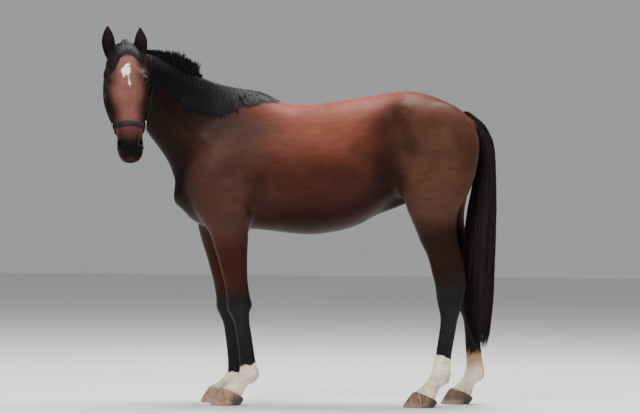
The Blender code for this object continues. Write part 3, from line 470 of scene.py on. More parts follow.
bodyForms = [  # on both sides of the trunk, as x, distance from the middle, height
    (((-0.690, 0.070, 1.060), (-0.650, 0.080, 0.990)), 0.070, 0.008),
    (((-0.730, 0.000, 1.140), (-0.700, 0.000, 0.990)), 0.040, -0.010),
    (((-0.620, 0.150, 1.300), (-0.480, 0.120, 1.460)), 0.070, -0.002),
    (((-0.500, 0.210, 1.280), (-0.400, 0.160, 1.480)), 0.070, 0.003),
    (((0.330, 0.000, 1.050), (0.420, 0.000, 1.060)), 0.050, 0.034),  # sheath
    (((-0.420, 0.235, 1.100), (-0.380, 0.225, 1.000)), 0.060, 0.010),
    (((-0.310, 0.225, 1.050), (-0.300, 0.230, 1.200)), 0.035, -0.008),
    (((0.330, 0.240, 1.250), (0.350, 0.240, 1.400)), 0.070, -0.016),
    (((0.400, 0.250, 1.500),), 0.045, 0.012),
    (((0.410, 0.230, 1.130), (0.440, 0.240, 1.090)), 0.050, 0.014),
    (((0.690, 0.220, 1.400), (0.720, 0.220, 1.200), (0.660, 0.190, 1.050)), 0.022, -0.008),
    (((-0.080, 0.030, 1.530), (0.300, 0.030, 1.580)), 0.025, -0.004),
    (((-0.410, 0.150, 1.500), (-0.490, 0.205, 1.360), (-0.570, 0.225, 1.230)), 0.050, 0.002),  # shoulder
    (((-0.440, 0.170, 1.450), (-0.470, 0.215, 1.300)), 0.040, -0.004),
    (((-0.650, 0.175, 1.150),), 0.050, 0.006),
    (((-0.540, 0.235, 1.130), (-0.430, 0.240, 1.150), (-0.360, 0.230, 1.230)), 0.026, -0.004),
    (((-0.600, 0.200, 1.050), (-0.500, 0.220, 1.010)), 0.026, -0.005),
    (((-0.370, 0.215, 0.960),), 0.030, 0.008),  # elbow
    (((0.240, 0.255, 1.300), (0.200, 0.270, 1.130), (0.030, 0.240, 0.960)), 0.035, -0.004),  # rib arch
    (((0.300, 0.200, 1.020), (0.355, 0.215, 1.090)), 0.022, 0.006),  # fold of the flank
    (((0.600, 0.245, 1.400), (0.610, 0.260, 1.220), (0.560, 0.250, 1.060)), 0.028, -0.006),
    (((0.500, 0.250, 1.420), (0.560, 0.265, 1.300)), 0.050, 0.005),
    (((0.790, 0.110, 1.360),), 0.030, 0.005),
    (((0.4125, 0.240, 1.486),), 0.010, -0.006),  # dimple below the point of the hip
    (((0.440, 0.225, 1.560), (0.380, 0.240, 1.470)), 0.016, 0.003),
    (((0.300, 0.255, 1.100), (0.100, 0.280, 1.020), (-0.100, 0.265, 1.030)), 0.009, 0.0018),  # veins
    (((0.160, 0.270, 1.235), (0.250, 0.270, 1.180), (0.330, 0.250, 1.145)), 0.012, 0.0028),
    (((0.410, 0.240, 1.400), (0.420, 0.250, 1.290), (0.400, 0.250, 1.200)), 0.030, -0.005),
    (((0.470, 0.240, 1.400), (0.490, 0.260, 1.280), (0.480, 0.260, 1.150)), 0.045, 0.006),
    (((-0.470, 0.220, 1.060), (-0.520, 0.210, 1.180)), 0.045, 0.005),
]
ribs = {"count": 8, "from": -0.120, "to": 0.215, "reach": 0.016, "height": 0.0021,
        "path": ((-0.010, 0.265, 1.380), (0.040, 0.290, 1.220), (0.020, 0.280, 1.060))}
legForms = {  # bone, place along it, in front, outwards; a path marked True is repeated on the inner side
    "fore": [
        (((0, 0.10, 0.060, 0.050), (0, 0.55, 0.048, 0.030)), 0.028, 0.004),
        (((0, 0.12, -0.008, 0.080), (0, 0.60, -0.008, 0.055)), 0.013, -0.005),
        (((0, 0.88, 0.018, 0.050),), 0.020, -0.004, True), (((1, 0.00, 0.004, 0.050),), 0.022, 0.004, True),
        (((1, 0.01, 0.060, 0.000),), 0.026, 0.003), (((1, 0.01, -0.062, 0.010),), 0.018, 0.006),
        (((1, 0.13, -0.054, 0.000),), 0.016, -0.005), (((1, 0.10, 0.052, 0.000),), 0.020, -0.003),
        (((1, 0.18, -0.008, 0.038), (1, 0.88, -0.008, 0.034)), 0.009, -0.006, True),
        (((1, 0.25, -0.040, 0.000), (1, 0.85, -0.042, 0.000)), 0.010, 0.002),
    ],
    "hind": [
        (((0, 0.35, 0.080, 0.050), (0, 0.60, 0.062, 0.040)), 0.034, 0.005),
        (((0, 0.58, -0.035, 0.056), (0, 0.93, -0.034, 0.044)), 0.014, -0.010, True),
        (((0, 0.97, 0.024, 0.048),), 0.019, 0.006, True), (((1, 0.06, 0.000, 0.048),), 0.016, -0.004, True),
        (((0, 0.95, -0.068, 0.000), (1, 0.10, -0.058, 0.000)), 0.016, 0.003),
        (((1, 0.16, 0.040, 0.020), (1, 0.16, 0.040, -0.020)), 0.024, 0.003),
        (((1, 0.34, -0.008, 0.036), (1, 0.88, -0.008, 0.034)), 0.009, -0.006, True),
    ],
    "both": [
        (((2, 0.02, 0.004, 0.040),), 0.018, 0.003, True), (((2, 0.02, -0.052, 0.014),), 0.014, 0.004, True),
        (((2, 0.02, -0.055, 0.000), (2, 0.60, -0.040, 0.000)), 0.006, -0.003),
        (((2, 0.50, -0.040, 0.000),), 0.014, -0.004), (((2, 0.45, 0.010, 0.034),), 0.018, -0.002),
    ],
}
neckForms = [  # station along the neck, share of the way from crest to underline
    (((1.3, 0.66), (2.5, 0.72), (4.0, 0.76), (5.6, 0.78), (6.8, 0.80)), 0.020, -0.007),  # jugular groove
    (((1.6, 0.52), (3.0, 0.58), (4.6, 0.62), (6.2, 0.60)), 0.030, 0.006),
    (((2.2, 0.30), (3.6, 0.32), (5.2, 0.34), (6.6, 0.36)), 0.024, -0.004),
    (((3.2, 0.18), (5.0, 0.18), (6.8, 0.20)), 0.024, 0.004),
]
throatFolds = [  # on the side that the head is turned to
    (((6.2, 0.50), (6.5, 0.75), (6.9, 0.92)), 0.012, -0.003),
    (((5.6, 0.55), (5.8, 0.78), (6.1, 0.94)), 0.012, -0.0025),
    (((5.9, 0.52), (6.1, 0.76), (6.5, 0.93)), 0.012, 0.002),
]
faceForms = [  # down the face, to the side (both), out of the face
    (((0.172, 0.082, 0.010), (0.200, 0.090, 0.012), (0.235, 0.098, -0.008)), 0.016, 0.006),
    (((0.225, 0.112, -0.040),), 0.026, 0.005), (((0.130, 0.070, 0.020),), 0.028, -0.007),
    (((0.250, 0.100, -0.055), (0.380, 0.080, -0.055)), 0.016, 0.006),
    (((0.190, 0.105, -0.170), (0.230, 0.100, -0.150)), 0.060, 0.006),
    (((0.300, 0.060, -0.010), (0.450, 0.050, -0.030)), 0.022, -0.005),
    (((0.400, 0.075, -0.110), (0.470, 0.065, -0.100)), 0.030, -0.004),
    (((0.525, 0.048, -0.040), (0.555, 0.044, -0.050)), 0.026, 0.009),
    (((0.258, 0.104, -0.048), (0.310, 0.095, -0.052), (0.365, 0.083, -0.056)), 0.012, 0.0045),  # facial crest
    (((0.110, 0.098, -0.036), (0.150, 0.108, -0.030), (0.172, 0.110, -0.020)), 0.011, 0.005),
    (((0.136, 0.082, 0.006),), 0.020, -0.004),  # hollow above the eye
    (((0.230, 0.046, 0.030), (0.330, 0.034, 0.014), (0.440, 0.024, -0.004)), 0.016, 0.0025),
    (((0.260, 0.000, 0.030), (0.460, 0.000, -0.004)), 0.016, -0.0012),
    (((0.300, 0.092, -0.100), (0.345, 0.090, -0.074), (0.380, 0.072, -0.040), (0.430, 0.050, -0.022)),
     0.006, 0.0016),
    (((0.335, 0.100, -0.090), (0.390, 0.078, -0.100), (0.440, 0.070, -0.090)), 0.006, 0.0013),
    (((0.120, 0.100, -0.130), (0.140, 0.108, -0.215), (0.200, 0.100, -0.262)), 0.016, -0.0025),
    (((0.300, 0.085, -0.185), (0.400, 0.066, -0.140)), 0.012, -0.0025),
    (((0.470, 0.064, -0.060), (0.500, 0.062, -0.088)), 0.012, -0.003),
    (((0.500, 0.000, -0.010), (0.575, 0.000, -0.040)), 0.010, -0.0025),  # between the nostrils
    (((0.585, 0.000, -0.062), (0.600, 0.000, -0.092)), 0.008, -0.0018),  # cleft of the upper lip
    (((0.574, 0.030, -0.070), (0.588, 0.016, -0.082)), 0.020, 0.003),
    (((0.520, 0.000, -0.148), (0.555, 0.000, -0.146)), 0.020, 0.005),  # chin
    (((0.490, 0.000, -0.140),), 0.014, -0.004),
]
report("tables read")


# the skin: lofts joined and remeshed, relaxed where they meet, then formed

skinSizes = {"coatDepth": 0.0022, "bodyVoxel": 0.0062, "voxel": 0.0034,
             "triangles": {"face": 46000, "legs": 32000, "rest": 62000}}


def neckSpot(place, share, sign):
    # a point on the neck's side: a share of the way from crest to underline, on the superellipse there
    steps = 20
    rows = curveThrough(body["neck"], steps)
    picked, ahead = (np.array([np.interp(at, np.arange(len(rows)), column) for column in rows.T])
                     for at in (place * steps, place * steps + 2))
    top, bottom = picked[0:3], picked[3:6]
    width, level, above, below = picked[6:10]
    side = unit(np.cross(top - bottom, ahead[0:3] - top))
    side = side * (1 if side[1] > 0 else -1) * sign
    v = 1 - level - share
    v = v / (1 - level) if v >= 0 else v / level
    power = above if v >= 0 else below
    u = max(1 - abs(v) ** power, 0) ** (1 / power)
    return top + (bottom - top) * share + side * (width * u)


def ribStrokes():
    places = ribs["from"] + (ribs["to"] - ribs["from"]) * np.linspace(0, 1, ribs["count"])
    paths = [[(x + ahead, side, height) for ahead, side, height in ribs["path"]] for x in places]
    return [(path, ribs["reach"], ribs["height"]) for path in paths]


def neckStrokes(forms, signs):
    return [([neckSpot(place, share, sign) for place, share in path], reach, height)
            for path, reach, height in forms for sign in signs]


def legStrokes(leg):
    made = []
    for path, reach, height, *twice in legForms[leg[:4]] + legForms["both"]:
        for sign in (1, -1) if twice else (1,):
            spots = [legSpot(leg, bone, t, forward, out * sign) for bone, t, forward, out in path]
            made.append((spots, reach, height))
    return made


def formBody(points, normals):
    trunk = points[:, 0] > -0.78
    move = np.zeros(len(points))
    move[trunk] = lift(folded(points)[trunk], bodyForms + ribStrokes())
    strokes = neckStrokes(neckForms, (-1, 1))
    for leg in legs:
        strokes += legStrokes(leg)
    return points + normals * (move + lift(points, strokes))[:, None]


def coarseBody():
    grids = [loft(flatStations(body["trunk"]), 80), loft(body["neck"], 72)]
    grids += [loft(flatStations(body["sheath"]), 32)]
    grids += [loft(legStations(leg), 48) for leg in legs]
    for side in (-1, 1):
        grids += [loft(uprightStations(body["shoulder"], side)), loft(uprightStations(body["thigh"], side))]
    points, cells, caps = joined(grids)
    obj = fused(pieceFrom("body", points, cells, *caps), skinSizes["bodyVoxel"])
    mesh = obj.data
    points, edges = pointsOf(mesh), edgesOf(mesh)
    x, height = points[:, 0], points[:, 2]
    points = relaxed(points, edges, 7)
    points = relaxed(points, edges, 45, eased(0.84, 0.90, height))
    points = relaxed(points, edges, 40, eased(0.98, 1.04, height))
    shoulderRear = eased(-0.42, -0.34, x) * eased(-0.14, -0.22, x) * eased(1.16, 1.26, height)
    points = relaxed(points, edges, 90, shoulderRear)
    seam = ((-0.600, 0.14, 1.32), (-0.440, 0.14, 1.48))
    shoulderFront = eased(0.13, 0.06, pathDistance(np.stack([x, np.abs(points[:, 1]), height], 1), seam)[0])
    points = relaxed(points, edges, 120, shoulderFront)
    breast = lengths(points - np.array([-0.70, 0, 1.04]))
    points = relaxed(points, edges, 60, eased(0.17, 0.09, breast))
    setPoints(mesh, points)
    setPoints(mesh, relaxed(formBody(points, normalsOf(mesh)), edges, 4))
    report(f"body {len(mesh.vertices)} points")
    return obj


def wholeSkin():
    coarse = coarseBody()
    bodyPoints, triangles = pointsOf(coarse.data), trianglesOf(coarse.data)
    bpy.data.objects.remove(coarse)
    points, cells, caps = joined([loft(headStations(), 96, 14)] + [earGrid(side)[0] for side in head["ears"]])
    faces = [triangles] + [part + len(bodyPoints) for part in (cells, *caps)]
    obj = fused(pieceFrom("skin", np.vstack([bodyPoints, points]), *faces), skinSizes["voxel"])
    mesh = obj.data
    points, edges = pointsOf(mesh), edgesOf(mesh)
    local = inHead(points)
    ears = (local[:, 0] < 0.035) & (np.abs(local[:, 1]) > 0.03)
    points = relaxed(points, edges, 3, np.where(ears, 0.5, 1.0))
    throat = eased(0.18, 0.15, fromHead(points, 0.10, -0.16)) * eased(-0.055, -0.085, local[:, 2])
    points = relaxed(points, edges, 55, throat)
    for along, aside, normal, length in head["ears"].values():
        root = eased(0.050, 0.034, fromHead(points, along + 0.004, normal, aside))
        points = relaxed(points, edges, 12, root * eased(-0.012, 0.008, local[:, 0] - along))
    points = relaxed(points, edges, 25, eased(0.080, 0.050, fromHead(points, 0.560, -0.075)))
    setPoints(mesh, points)
    normals = normalsOf(mesh)
    local = folded(inHead(points))
    face = fromHead(points, 0.30, -0.09) < 0.36
    move = np.zeros(len(points))
    move[face] = lift(local[face], faceForms)
    move *= np.where(ears & (local[:, 0] < 0.01), 0, 1)
    folds = lift(points, neckStrokes(throatFolds, (-1,)))
    points = points + normals * (move + folds - skinSizes["coatDepth"])[:, None]
    setPoints(mesh, relaxed(points, edges, 2, np.where(ears, 0.4, 1.0)))
    report(f"skin {len(mesh.vertices)} points")
    return obj


def regions(points):
    # the face and the lower legs are kept finer than the rest
    face = nearHead(points, 0.25, -0.08, 0.42)
    low = ~face & (points[:, 2] < 0.62)
    return {"face": face, "legs": low, "rest": ~face & ~low}


def thinned(obj):
    # one region after the other: only its own edges are light enough to collapse
    strongly = 1000  # how much more a chosen edge's weight counts
    for name in ("rest", "legs", "face"):
        chosen = regions(pointsOf(obj.data))[name]
        obj.vertex_groups.clear()
        group = obj.vertex_groups.new(name="collapse")
        group.add(np.flatnonzero(chosen).tolist(), 1.0, "REPLACE")
        whole = len(obj.data.loops) - 2 * len(obj.data.polygons)
        thin = obj.modifiers.new("Fewer faces", "DECIMATE")
        thin.use_collapse_triangulate = True
        thin.ratio = 1 - (2 * chosen.sum() - skinSizes["triangles"][name]) / whole
        thin.vertex_group = "collapse"
        thin.vertex_group_factor = strongly
        applied(obj)
    obj.vertex_groups.clear()
    report(f"thinned to {len(obj.data.polygons)} faces")
    return obj


skin = thinned(wholeSkin())


# fine forms of the face: lids, nostrils and mouth, on a skin that is divided finer there

eye = {"centre": (0.200, 0.085, -0.004), "out": (-0.06, 0.84, 0.53), "slit": (0.93, 0.0, 0.36),
       "radius": 0.0232, "bulge": 0.035, "length": 0.0225, "above": 0.0130, "below": 0.0090, "lid": 0.0026}
nostril = {"centre": (0.519, 0.0500, -0.0390), "out": (0.20, 0.58, 0.79), "slit": (0.88, -0.30, -0.36),
           "length": 0.0205, "width": 0.0085, "bend": 0.006, "inward": (-0.72, -0.12, -0.62), "depth": 0.026,
           "rim": 0.0036}
mouth = {"level": -0.0985, "from": 0.500, "reach": 0.0030, "depth": 0.0052, "lip": 0.0024}


def sideAxes(form):
    # out of the head, along the opening, and across it towards the front of the face
    out = unit(np.array(form["out"]))
    along = np.array(form["slit"])
    along = unit(along - out * (along @ out))
    across = np.cross(out, along)
    return out, along, across if across[2] > 0 else -across


def awayFrom(points, centre):
    # distance from a place on the head, on whichever side is nearer
    return lengths(folded(inHead(points)) - np.array(centre))


def finer(mesh, centre, radius):
    # splits every edge near a place on both sides of the head in two
    bm = bmesh.new()
    bm.from_mesh(mesh)
    near = awayFrom(pointsOf(mesh), centre) < radius
    bm.edges.ensure_lookup_table()
    pairs = edgesOf(mesh)
    picked = np.flatnonzero(near[pairs[:, 0]] & near[pairs[:, 1]])
    bmesh.ops.subdivide_edges(bm, edges=[bm.edges[i] for i in picked], cuts=1, use_grid_fill=True)
    bmesh.ops.triangulate(bm, faces=[f for f in bm.faces if len(f.verts) > 3])
    bm.to_mesh(mesh)
    bm.free()
    points = pointsOf(mesh)
    weight = eased(radius * 1.15, radius * 0.8, awayFrom(points, centre))
    setPoints(mesh, relaxed(points, edgesOf(mesh), 3, weight))


def openingAxes(local, form):
    # where points lie along and across an opening and out of the head, with the opening's axis outwards
    out, along, across = sideAxes(form)
    q = local - np.array(form["centre"])
    return q @ along, q @ across, q @ out, out


def formLids(local):
    # near the slit the skin follows a ball just over the eye; inside the slit it drops behind the eye
    a, b, h, out = openingAxes(local, eye)
    r = np.hypot(a, b)
    near = eased(0.050, 0.040, r) * eased(-0.006, 0.006, h)
    half = np.where(b > 0, eye["above"], eye["below"])
    rho = np.maximum(np.sqrt(np.abs(a / eye["length"]) ** 1.7 + (b / half) ** 2), 1e-4)
    edge = (rho - 1) * r / rho
    over = eye["radius"] + eye["lid"]
    ball = np.sqrt(np.maximum(over ** 2 - r ** 2, 0))
    new = 0.5 * (h + ball + np.sqrt((h - ball) ** 2 + 0.005 ** 2)) - 0.0025 * eased(0.020, 0.034, r)
    new = h + (new - h) * eased(0.040, 0.030, r)
    new += 0.0030 * bell(r - 0.034, 0.010) * eased(0.004, 0.020, b)  # rim of the orbit
    new -= 0.0015 * bell(edge - 0.0070, 0.0022) * eased(0.001, 0.008, b)  # fold of the upper lid
    new += 0.0008 * bell(edge - 0.0105, 0.0028) * eased(0.001, 0.008, b)
    new -= 0.0005 * bell(edge - 0.0065, 0.0024) * eased(-0.001, -0.006, b)  # fold of the lower lid
    new += 0.0005 * bell(edge - 0.0012, 0.0010)
    new -= eased(0.0004, -0.0014, edge) * (0.0045 + 0.012 * eased(0, -0.004, edge))
    return local + ((new - h) * near)[:, None] * out


def formNostrils(local):
    # a bent ellipse sinks up into the nose, and its rim stands out
    a, b, h, out = openingAxes(local, nostril)
    b = b - nostril["bend"] * ((a / nostril["length"]) ** 2 - 0.4)
    r = np.hypot(a, b)
    near = (r < 0.06) & (h > -0.02)
    wide = nostril["width"] * (1 + 0.25 * a / nostril["length"])
    rho = np.maximum(np.sqrt((a / nostril["length"]) ** 2 + (b / wide) ** 2), 1e-4)
    edge = (rho - 1) * r / rho
    sunk = np.sqrt(np.clip(1 - rho ** 2, 0, 1))
    rim = nostril["rim"] * bell(edge - 0.0028, 0.0038) * (1 + 0.3 * np.tanh(b / 0.004))
    groove = -0.0022 * bell(edge - 0.0115, 0.0035) * eased(-0.004, 0.006, b)
    inward = unit(np.array(nostril["inward"]))
    move = (sunk * nostril["depth"])[:, None] * inward + (rim + groove)[:, None] * out
    return local + np.where(near[:, None], move, 0)


def formMouth(local, normals):
    # a level groove round the muzzle between two lips
    level = mouth["level"] + 0.003 * np.cos(np.clip(np.abs(local[:, 1]) / 0.05, 0, 1) * np.pi)
    off = local[:, 2] - level
    front = eased(mouth["from"], mouth["from"] + 0.03, local[:, 0])
    groove = -mouth["depth"] * bell(off, mouth["reach"])
    lips = mouth["lip"] * (bell(off - 0.008, 0.005) + 0.8 * bell(off + 0.008, 0.005))
    wrinkle = 0.0005 * np.sin(local[:, 1] * 700) * bell(off + 0.005, 0.008)
    corner = 0.003 * bell(np.hypot(local[:, 0] - mouth["from"] - 0.008, off), 0.008)
    return local + (front * (groove + lips + wrinkle) + corner)[:, None] * normals


def finishFace(mesh):
    for centre, radius in ((eye["centre"], 0.046), (eye["centre"], 0.036), (nostril["centre"], 0.038),
                           (nostril["centre"], 0.028), ((0.575, 0.020, mouth["level"]), 0.050)):
        finer(mesh, centre, radius)
    points = pointsOf(mesh)
    local, normals = inHead(points), normalsOf(mesh) @ headTurn.T
    sign = np.where(local[:, 1] < 0, -1.0, 1.0)[:, None]
    fold = np.hstack([np.ones_like(sign), sign, np.ones_like(sign)])
    face = nearHead(points, 0.40, -0.08, 0.30, -0.2)
    made = formLids(formNostrils(formMouth(local * fold, normals * fold))) * fold
    points[face] = (poll + made @ headTurn)[face]
    setPoints(mesh, points)
    report(f"face formed, {len(mesh.polygons)} faces")


def coronet(leg, points):
    # the middle of the coronet, which points are near it, and how far each lies over its slanting level
    toe, heel, front, back, width = hoofSizes[leg]
    middle = np.array([(front[0] + back[0]) / 2, legs[leg][3][1]])
    near = lengths(points[:, :2] - middle) < 0.13
    level = front[1] + (points[:, 0] - front[0]) * (back[1] - front[1]) / (back[0] - front[0])
    return middle, near, points[:, 2] - level


def tuckIntoHooves(mesh):
    # below each coronet the skin draws in, so that it stays inside the horn
    points = pointsOf(mesh)
    for leg in hoofSizes:
        middle, near, over = coronet(leg, points)
        share = np.where(near, eased(0.004, -0.012, over) * 0.20, 0)[:, None]
        points[:, :2] += (middle - points[:, :2]) * share
    setPoints(mesh, points)


finishFace(skin.data)
tuckIntoHooves(skin.data)


# the markings: tones at named places, blended by nearness, and white where its field is above a half

# several tones hold painted light as well as the coat's colour: the top of the trunk is lighter with painted
# light from above, and the lower ribs, belly, flank hollow, shoulder, breast, neck, the sides of the face and
# the hollows over the eyes are darker with painted shade
tones = {  # red, green and blue from 0 to 255, as a screen shows them
    "back": (133, 67, 54), "withers": (127, 54, 36), "croup": (76, 40, 25), "ribs": (113, 60, 44),
    "lowRibs": (56, 27, 19), "flank": (26, 12, 7), "belly": (36, 12, 8), "shoulder": (69, 43, 35),
    "neck": (24, 11, 9), "chest": (10, 3, 2), "thigh": (78, 49, 38), "buttock": (69, 42, 28),
    "gaskin": (33, 15, 9), "forearm": (51, 22, 14), "black": (30, 27, 28), "face": (122, 78, 69),
    "cheek": (25, 15, 12), "side": (17, 11, 10), "rim": (92, 56, 46), "brow": (42, 23, 18),
    "muzzle": (5, 4, 4), "nose": (84, 36, 32), "earBack": (28, 17, 15), "earInside": (40, 24, 26),
    "white": (252, 234, 208), "dirt": (184, 142, 112), "bare": (13, 11, 11), "mane": (13, 10, 15),
    "tail": (28, 19, 22),
}
bodyTones = [  # path of x, distance from the middle, height; reach; tone
    # the top of the shoulders, the back and the upper ribs: the coat's red, lightened by painted light
    # falling from above
    (((-0.300, 0.080, 1.590), (-0.200, 0.080, 1.550)), 0.10, "withers"),
    (((-0.120, 0.060, 1.530), (0.420, 0.080, 1.590)), 0.11, "back"),
    (((0.450, 0.120, 1.570), (0.680, 0.080, 1.520)), 0.13, "croup"),
    (((-0.120, 0.250, 1.360), (0.180, 0.260, 1.360)), 0.13, "ribs"),
    # lower ribs: the coat darkened by painted shade lower on the side
    (((-0.150, 0.270, 1.160), (0.160, 0.280, 1.150)), 0.12, "lowRibs"),
    # flank rows: painted shade in the hollow of the flank and in the creases before the thigh
    (((0.390, 0.180, 1.470), (0.290, 0.240, 1.380), (0.330, 0.240, 1.270), (0.350, 0.240, 1.170)),
     0.065, "flank"),
    (((0.190, 0.260, 1.300), (0.290, 0.250, 1.250)), 0.05, "flank"),
    # belly: the coat darkened by painted shade under the trunk
    (((-0.250, 0.120, 0.900), (0.200, 0.120, 0.920), (0.300, 0.180, 1.030)), 0.11, "belly"),
    # painted shade in the crease before the thigh
    (((0.440, 0.220, 1.400), (0.450, 0.250, 1.290)), 0.035, "flank"),
    # painted shadow behind the elbow, along the rear edge of the forearm
    (((-0.320, 0.200, 1.120), (-0.325, 0.200, 0.960)), 0.040, "belly"),
    (((0.620, 0.150, 1.460), (0.710, 0.170, 1.330)), 0.060, "buttock"),
    # shoulder, breast and neck: the dark coat, deepened with painted shade
    (((-0.380, 0.190, 1.440), (-0.500, 0.210, 1.220), (-0.450, 0.220, 1.020)), 0.17, "shoulder"),
    (((-0.700, 0.080, 1.250), (-0.680, 0.080, 1.020)), 0.10, "chest"),
    (((-0.500, 0.110, 1.480), (-0.720, 0.120, 1.500), (-0.880, 0.230, 1.600)), 0.13, "neck"),
    (((-0.900, 0.300, 1.740), (-0.870, 0.270, 1.640)), 0.07, "mane"),
    (((0.510, 0.230, 1.380), (0.520, 0.260, 1.240), (0.560, 0.260, 1.080)), 0.11, "thigh"),
    (((0.760, 0.120, 1.400), (0.760, 0.160, 1.100)), 0.08, "buttock"),
    (((0.240, 0.000, 0.990), (0.400, 0.000, 1.060)), 0.05, "bare"),
]
legTones = {  # how far down the leg, tone
    "fore": [(0.00, "shoulder"), (0.15, "forearm"), (0.33, "forearm"), (0.44, "black"), (1.00, "black")],
    "hind": [(0.00, "thigh"), (0.18, "gaskin"), (0.34, "gaskin"), (0.46, "black"), (1.00, "black")],
}
socks = {  # height of each white sock's edge at the fetlock, and how it slopes to the back
    "foreLeft": (0.215, 0.30), "foreRight": (0.165, 0.05),
    "hindLeft": (0.258, -0.30), "hindRight": (0.256, 0.10),
}
faceTones = [  # down the face, to the side, out of the face
    (((0.060, 0.000, 0.020), (0.250, 0.000, 0.030)), 0.06, "face"),
    (((0.280, 0.000, 0.020), (0.440, 0.000, -0.005)), 0.05, "face"),
    # cheek and side rows: the brown coat darkened by painted shade on the sides and jowls, which turn away
    # from the light
    (((0.100, 0.105, -0.100), (0.230, 0.110, -0.160)), 0.10, "cheek"),
    (((0.330, 0.090, -0.080), (0.400, 0.080, -0.100)), 0.07, "cheek"),
    (((0.220, 0.100, -0.055), (0.300, 0.100, -0.080), (0.420, 0.075, -0.090)), 0.045, "side"),
    (((0.020, 0.085, -0.020), (0.140, 0.098, -0.030)), 0.045, "cheek"),
    (((0.448, 0.000, -0.010), (0.440, 0.060, -0.050)), 0.035, "nose"),
    (((0.504, 0.000, -0.020), (0.580, 0.000, -0.070), (0.540, 0.040, -0.110), (0.500, 0.000, -0.140)),
     0.060, "muzzle"),
    (((0.485, 0.050, -0.030), (0.540, 0.045, -0.040)), 0.035, "muzzle"),
    (((0.460, 0.068, -0.070), (0.530, 0.066, -0.085)), 0.026, "rim"),
    (((0.445, 0.066, -0.045), (0.492, 0.070, -0.052)), 0.022, "face"),
    (((0.500, 0.076, -0.075), (0.545, 0.070, -0.090)), 0.014, "face"),
    (((0.584, 0.000, -0.075), (0.576, 0.045, -0.090)), 0.010, "rim"),
    # painted shade in the hollow over the eye
    (((0.150, 0.085, 0.000), (0.180, 0.082, 0.020)), 0.035, "brow"),
    (((-0.035, 0.000, 0.000), (-0.030, 0.050, -0.020)), 0.035, "mane"),
]
crestLine = ((-0.360, 0.0, 1.610), (-0.532, 0.02, 1.650), (-0.730, 0.10, 1.738), (-0.880, 0.225, 1.790))
star = {"middle": (0.156, -0.003), "half": (0.034, 0.020),
        "strip": ((0.170, 0.004), (0.215, 0.010), (0.252, 0.013)), "stripHalf": 0.0042}


def linear(tone):
    tone = np.asarray(tone, float) / 255
    return np.where(tone <= 0.04045, tone / 12.92, ((tone + 0.055) / 1.055) ** 2.4)


def toneOf(name):
    return linear(tones[name])


def blended(points, rows):
    # the mean of the tones, each weighted by a bell curve of its distance
    total, colour = np.full(len(points), 1e-9), np.zeros((len(points), 3))
    for path, reach, tone in rows:
        weight = bell(pathDistance(points, path)[0], reach) + 1e-6
        colour += weight[:, None] * toneOf(tone)
        total += weight
    return colour / total[:, None]


def mixed(a, b, share):
    return a + (b - a) * share[:, None]


def legMarkings(points, colour, white):
    # each leg darkens downwards to its white sock; the far hind sock is soiled at its top
    away = np.full(len(points), 9.0)
    x, y, z = points.T
    for leg, joints in legs.items():
        distance, along = pathDistance(points, joints)
        places, names = zip(*legTones[leg[:4]])
        columns = np.array([toneOf(name) for name in names]).T
        shade = np.stack([np.interp(along, places, column) for column in columns], 1)
        mine = (distance < away) & (z < 1.05) & (y * joints[0][1] > 0)
        upper = eased(joints[0][2] + 0.02, joints[0][2] - 0.16, z) * eased(0.25, 0.17, distance)
        colour = np.where(mine[:, None], mixed(colour, shade, upper), colour)
        height, slope = socks[leg]
        edge = height + 0.004 * np.sin(x * 95) + 0.004 * np.sin(y * 120 + 2)
        edge += slope * (x - joints[2][0])
        if leg == "hindRight":
            dirty = mixed(toneOf("dirt"), toneOf("white"), eased(edge - 0.02, edge - 0.12, z))
            colour = mixed(colour, dirty, np.where(mine, eased(edge + 0.010, edge - 0.006, z), 0))
            edge = edge - 0.13
        white = np.where(mine, np.clip(0.5 + (edge - z) / 0.04, 0, 1), white)
        away = np.where(mine, distance, away)
    return colour, white


def starField(along, side):
    # above a half inside a leaning diamond with round sides and inside the strip under it
    middle, half = star["middle"], star["half"]
    lean = side - middle[1] - 0.3 * (middle[0] - along)
    out = np.abs((along - middle[0]) / half[0]) ** 1.4 + np.abs(lean / half[1]) ** 1.4
    strip = pathDistance(np.stack([along, side], 1), star["strip"])[0]
    return np.maximum(0.5 + (1 - out) * 0.30, 0.5 + (star["stripHalf"] - strip) / 0.030)


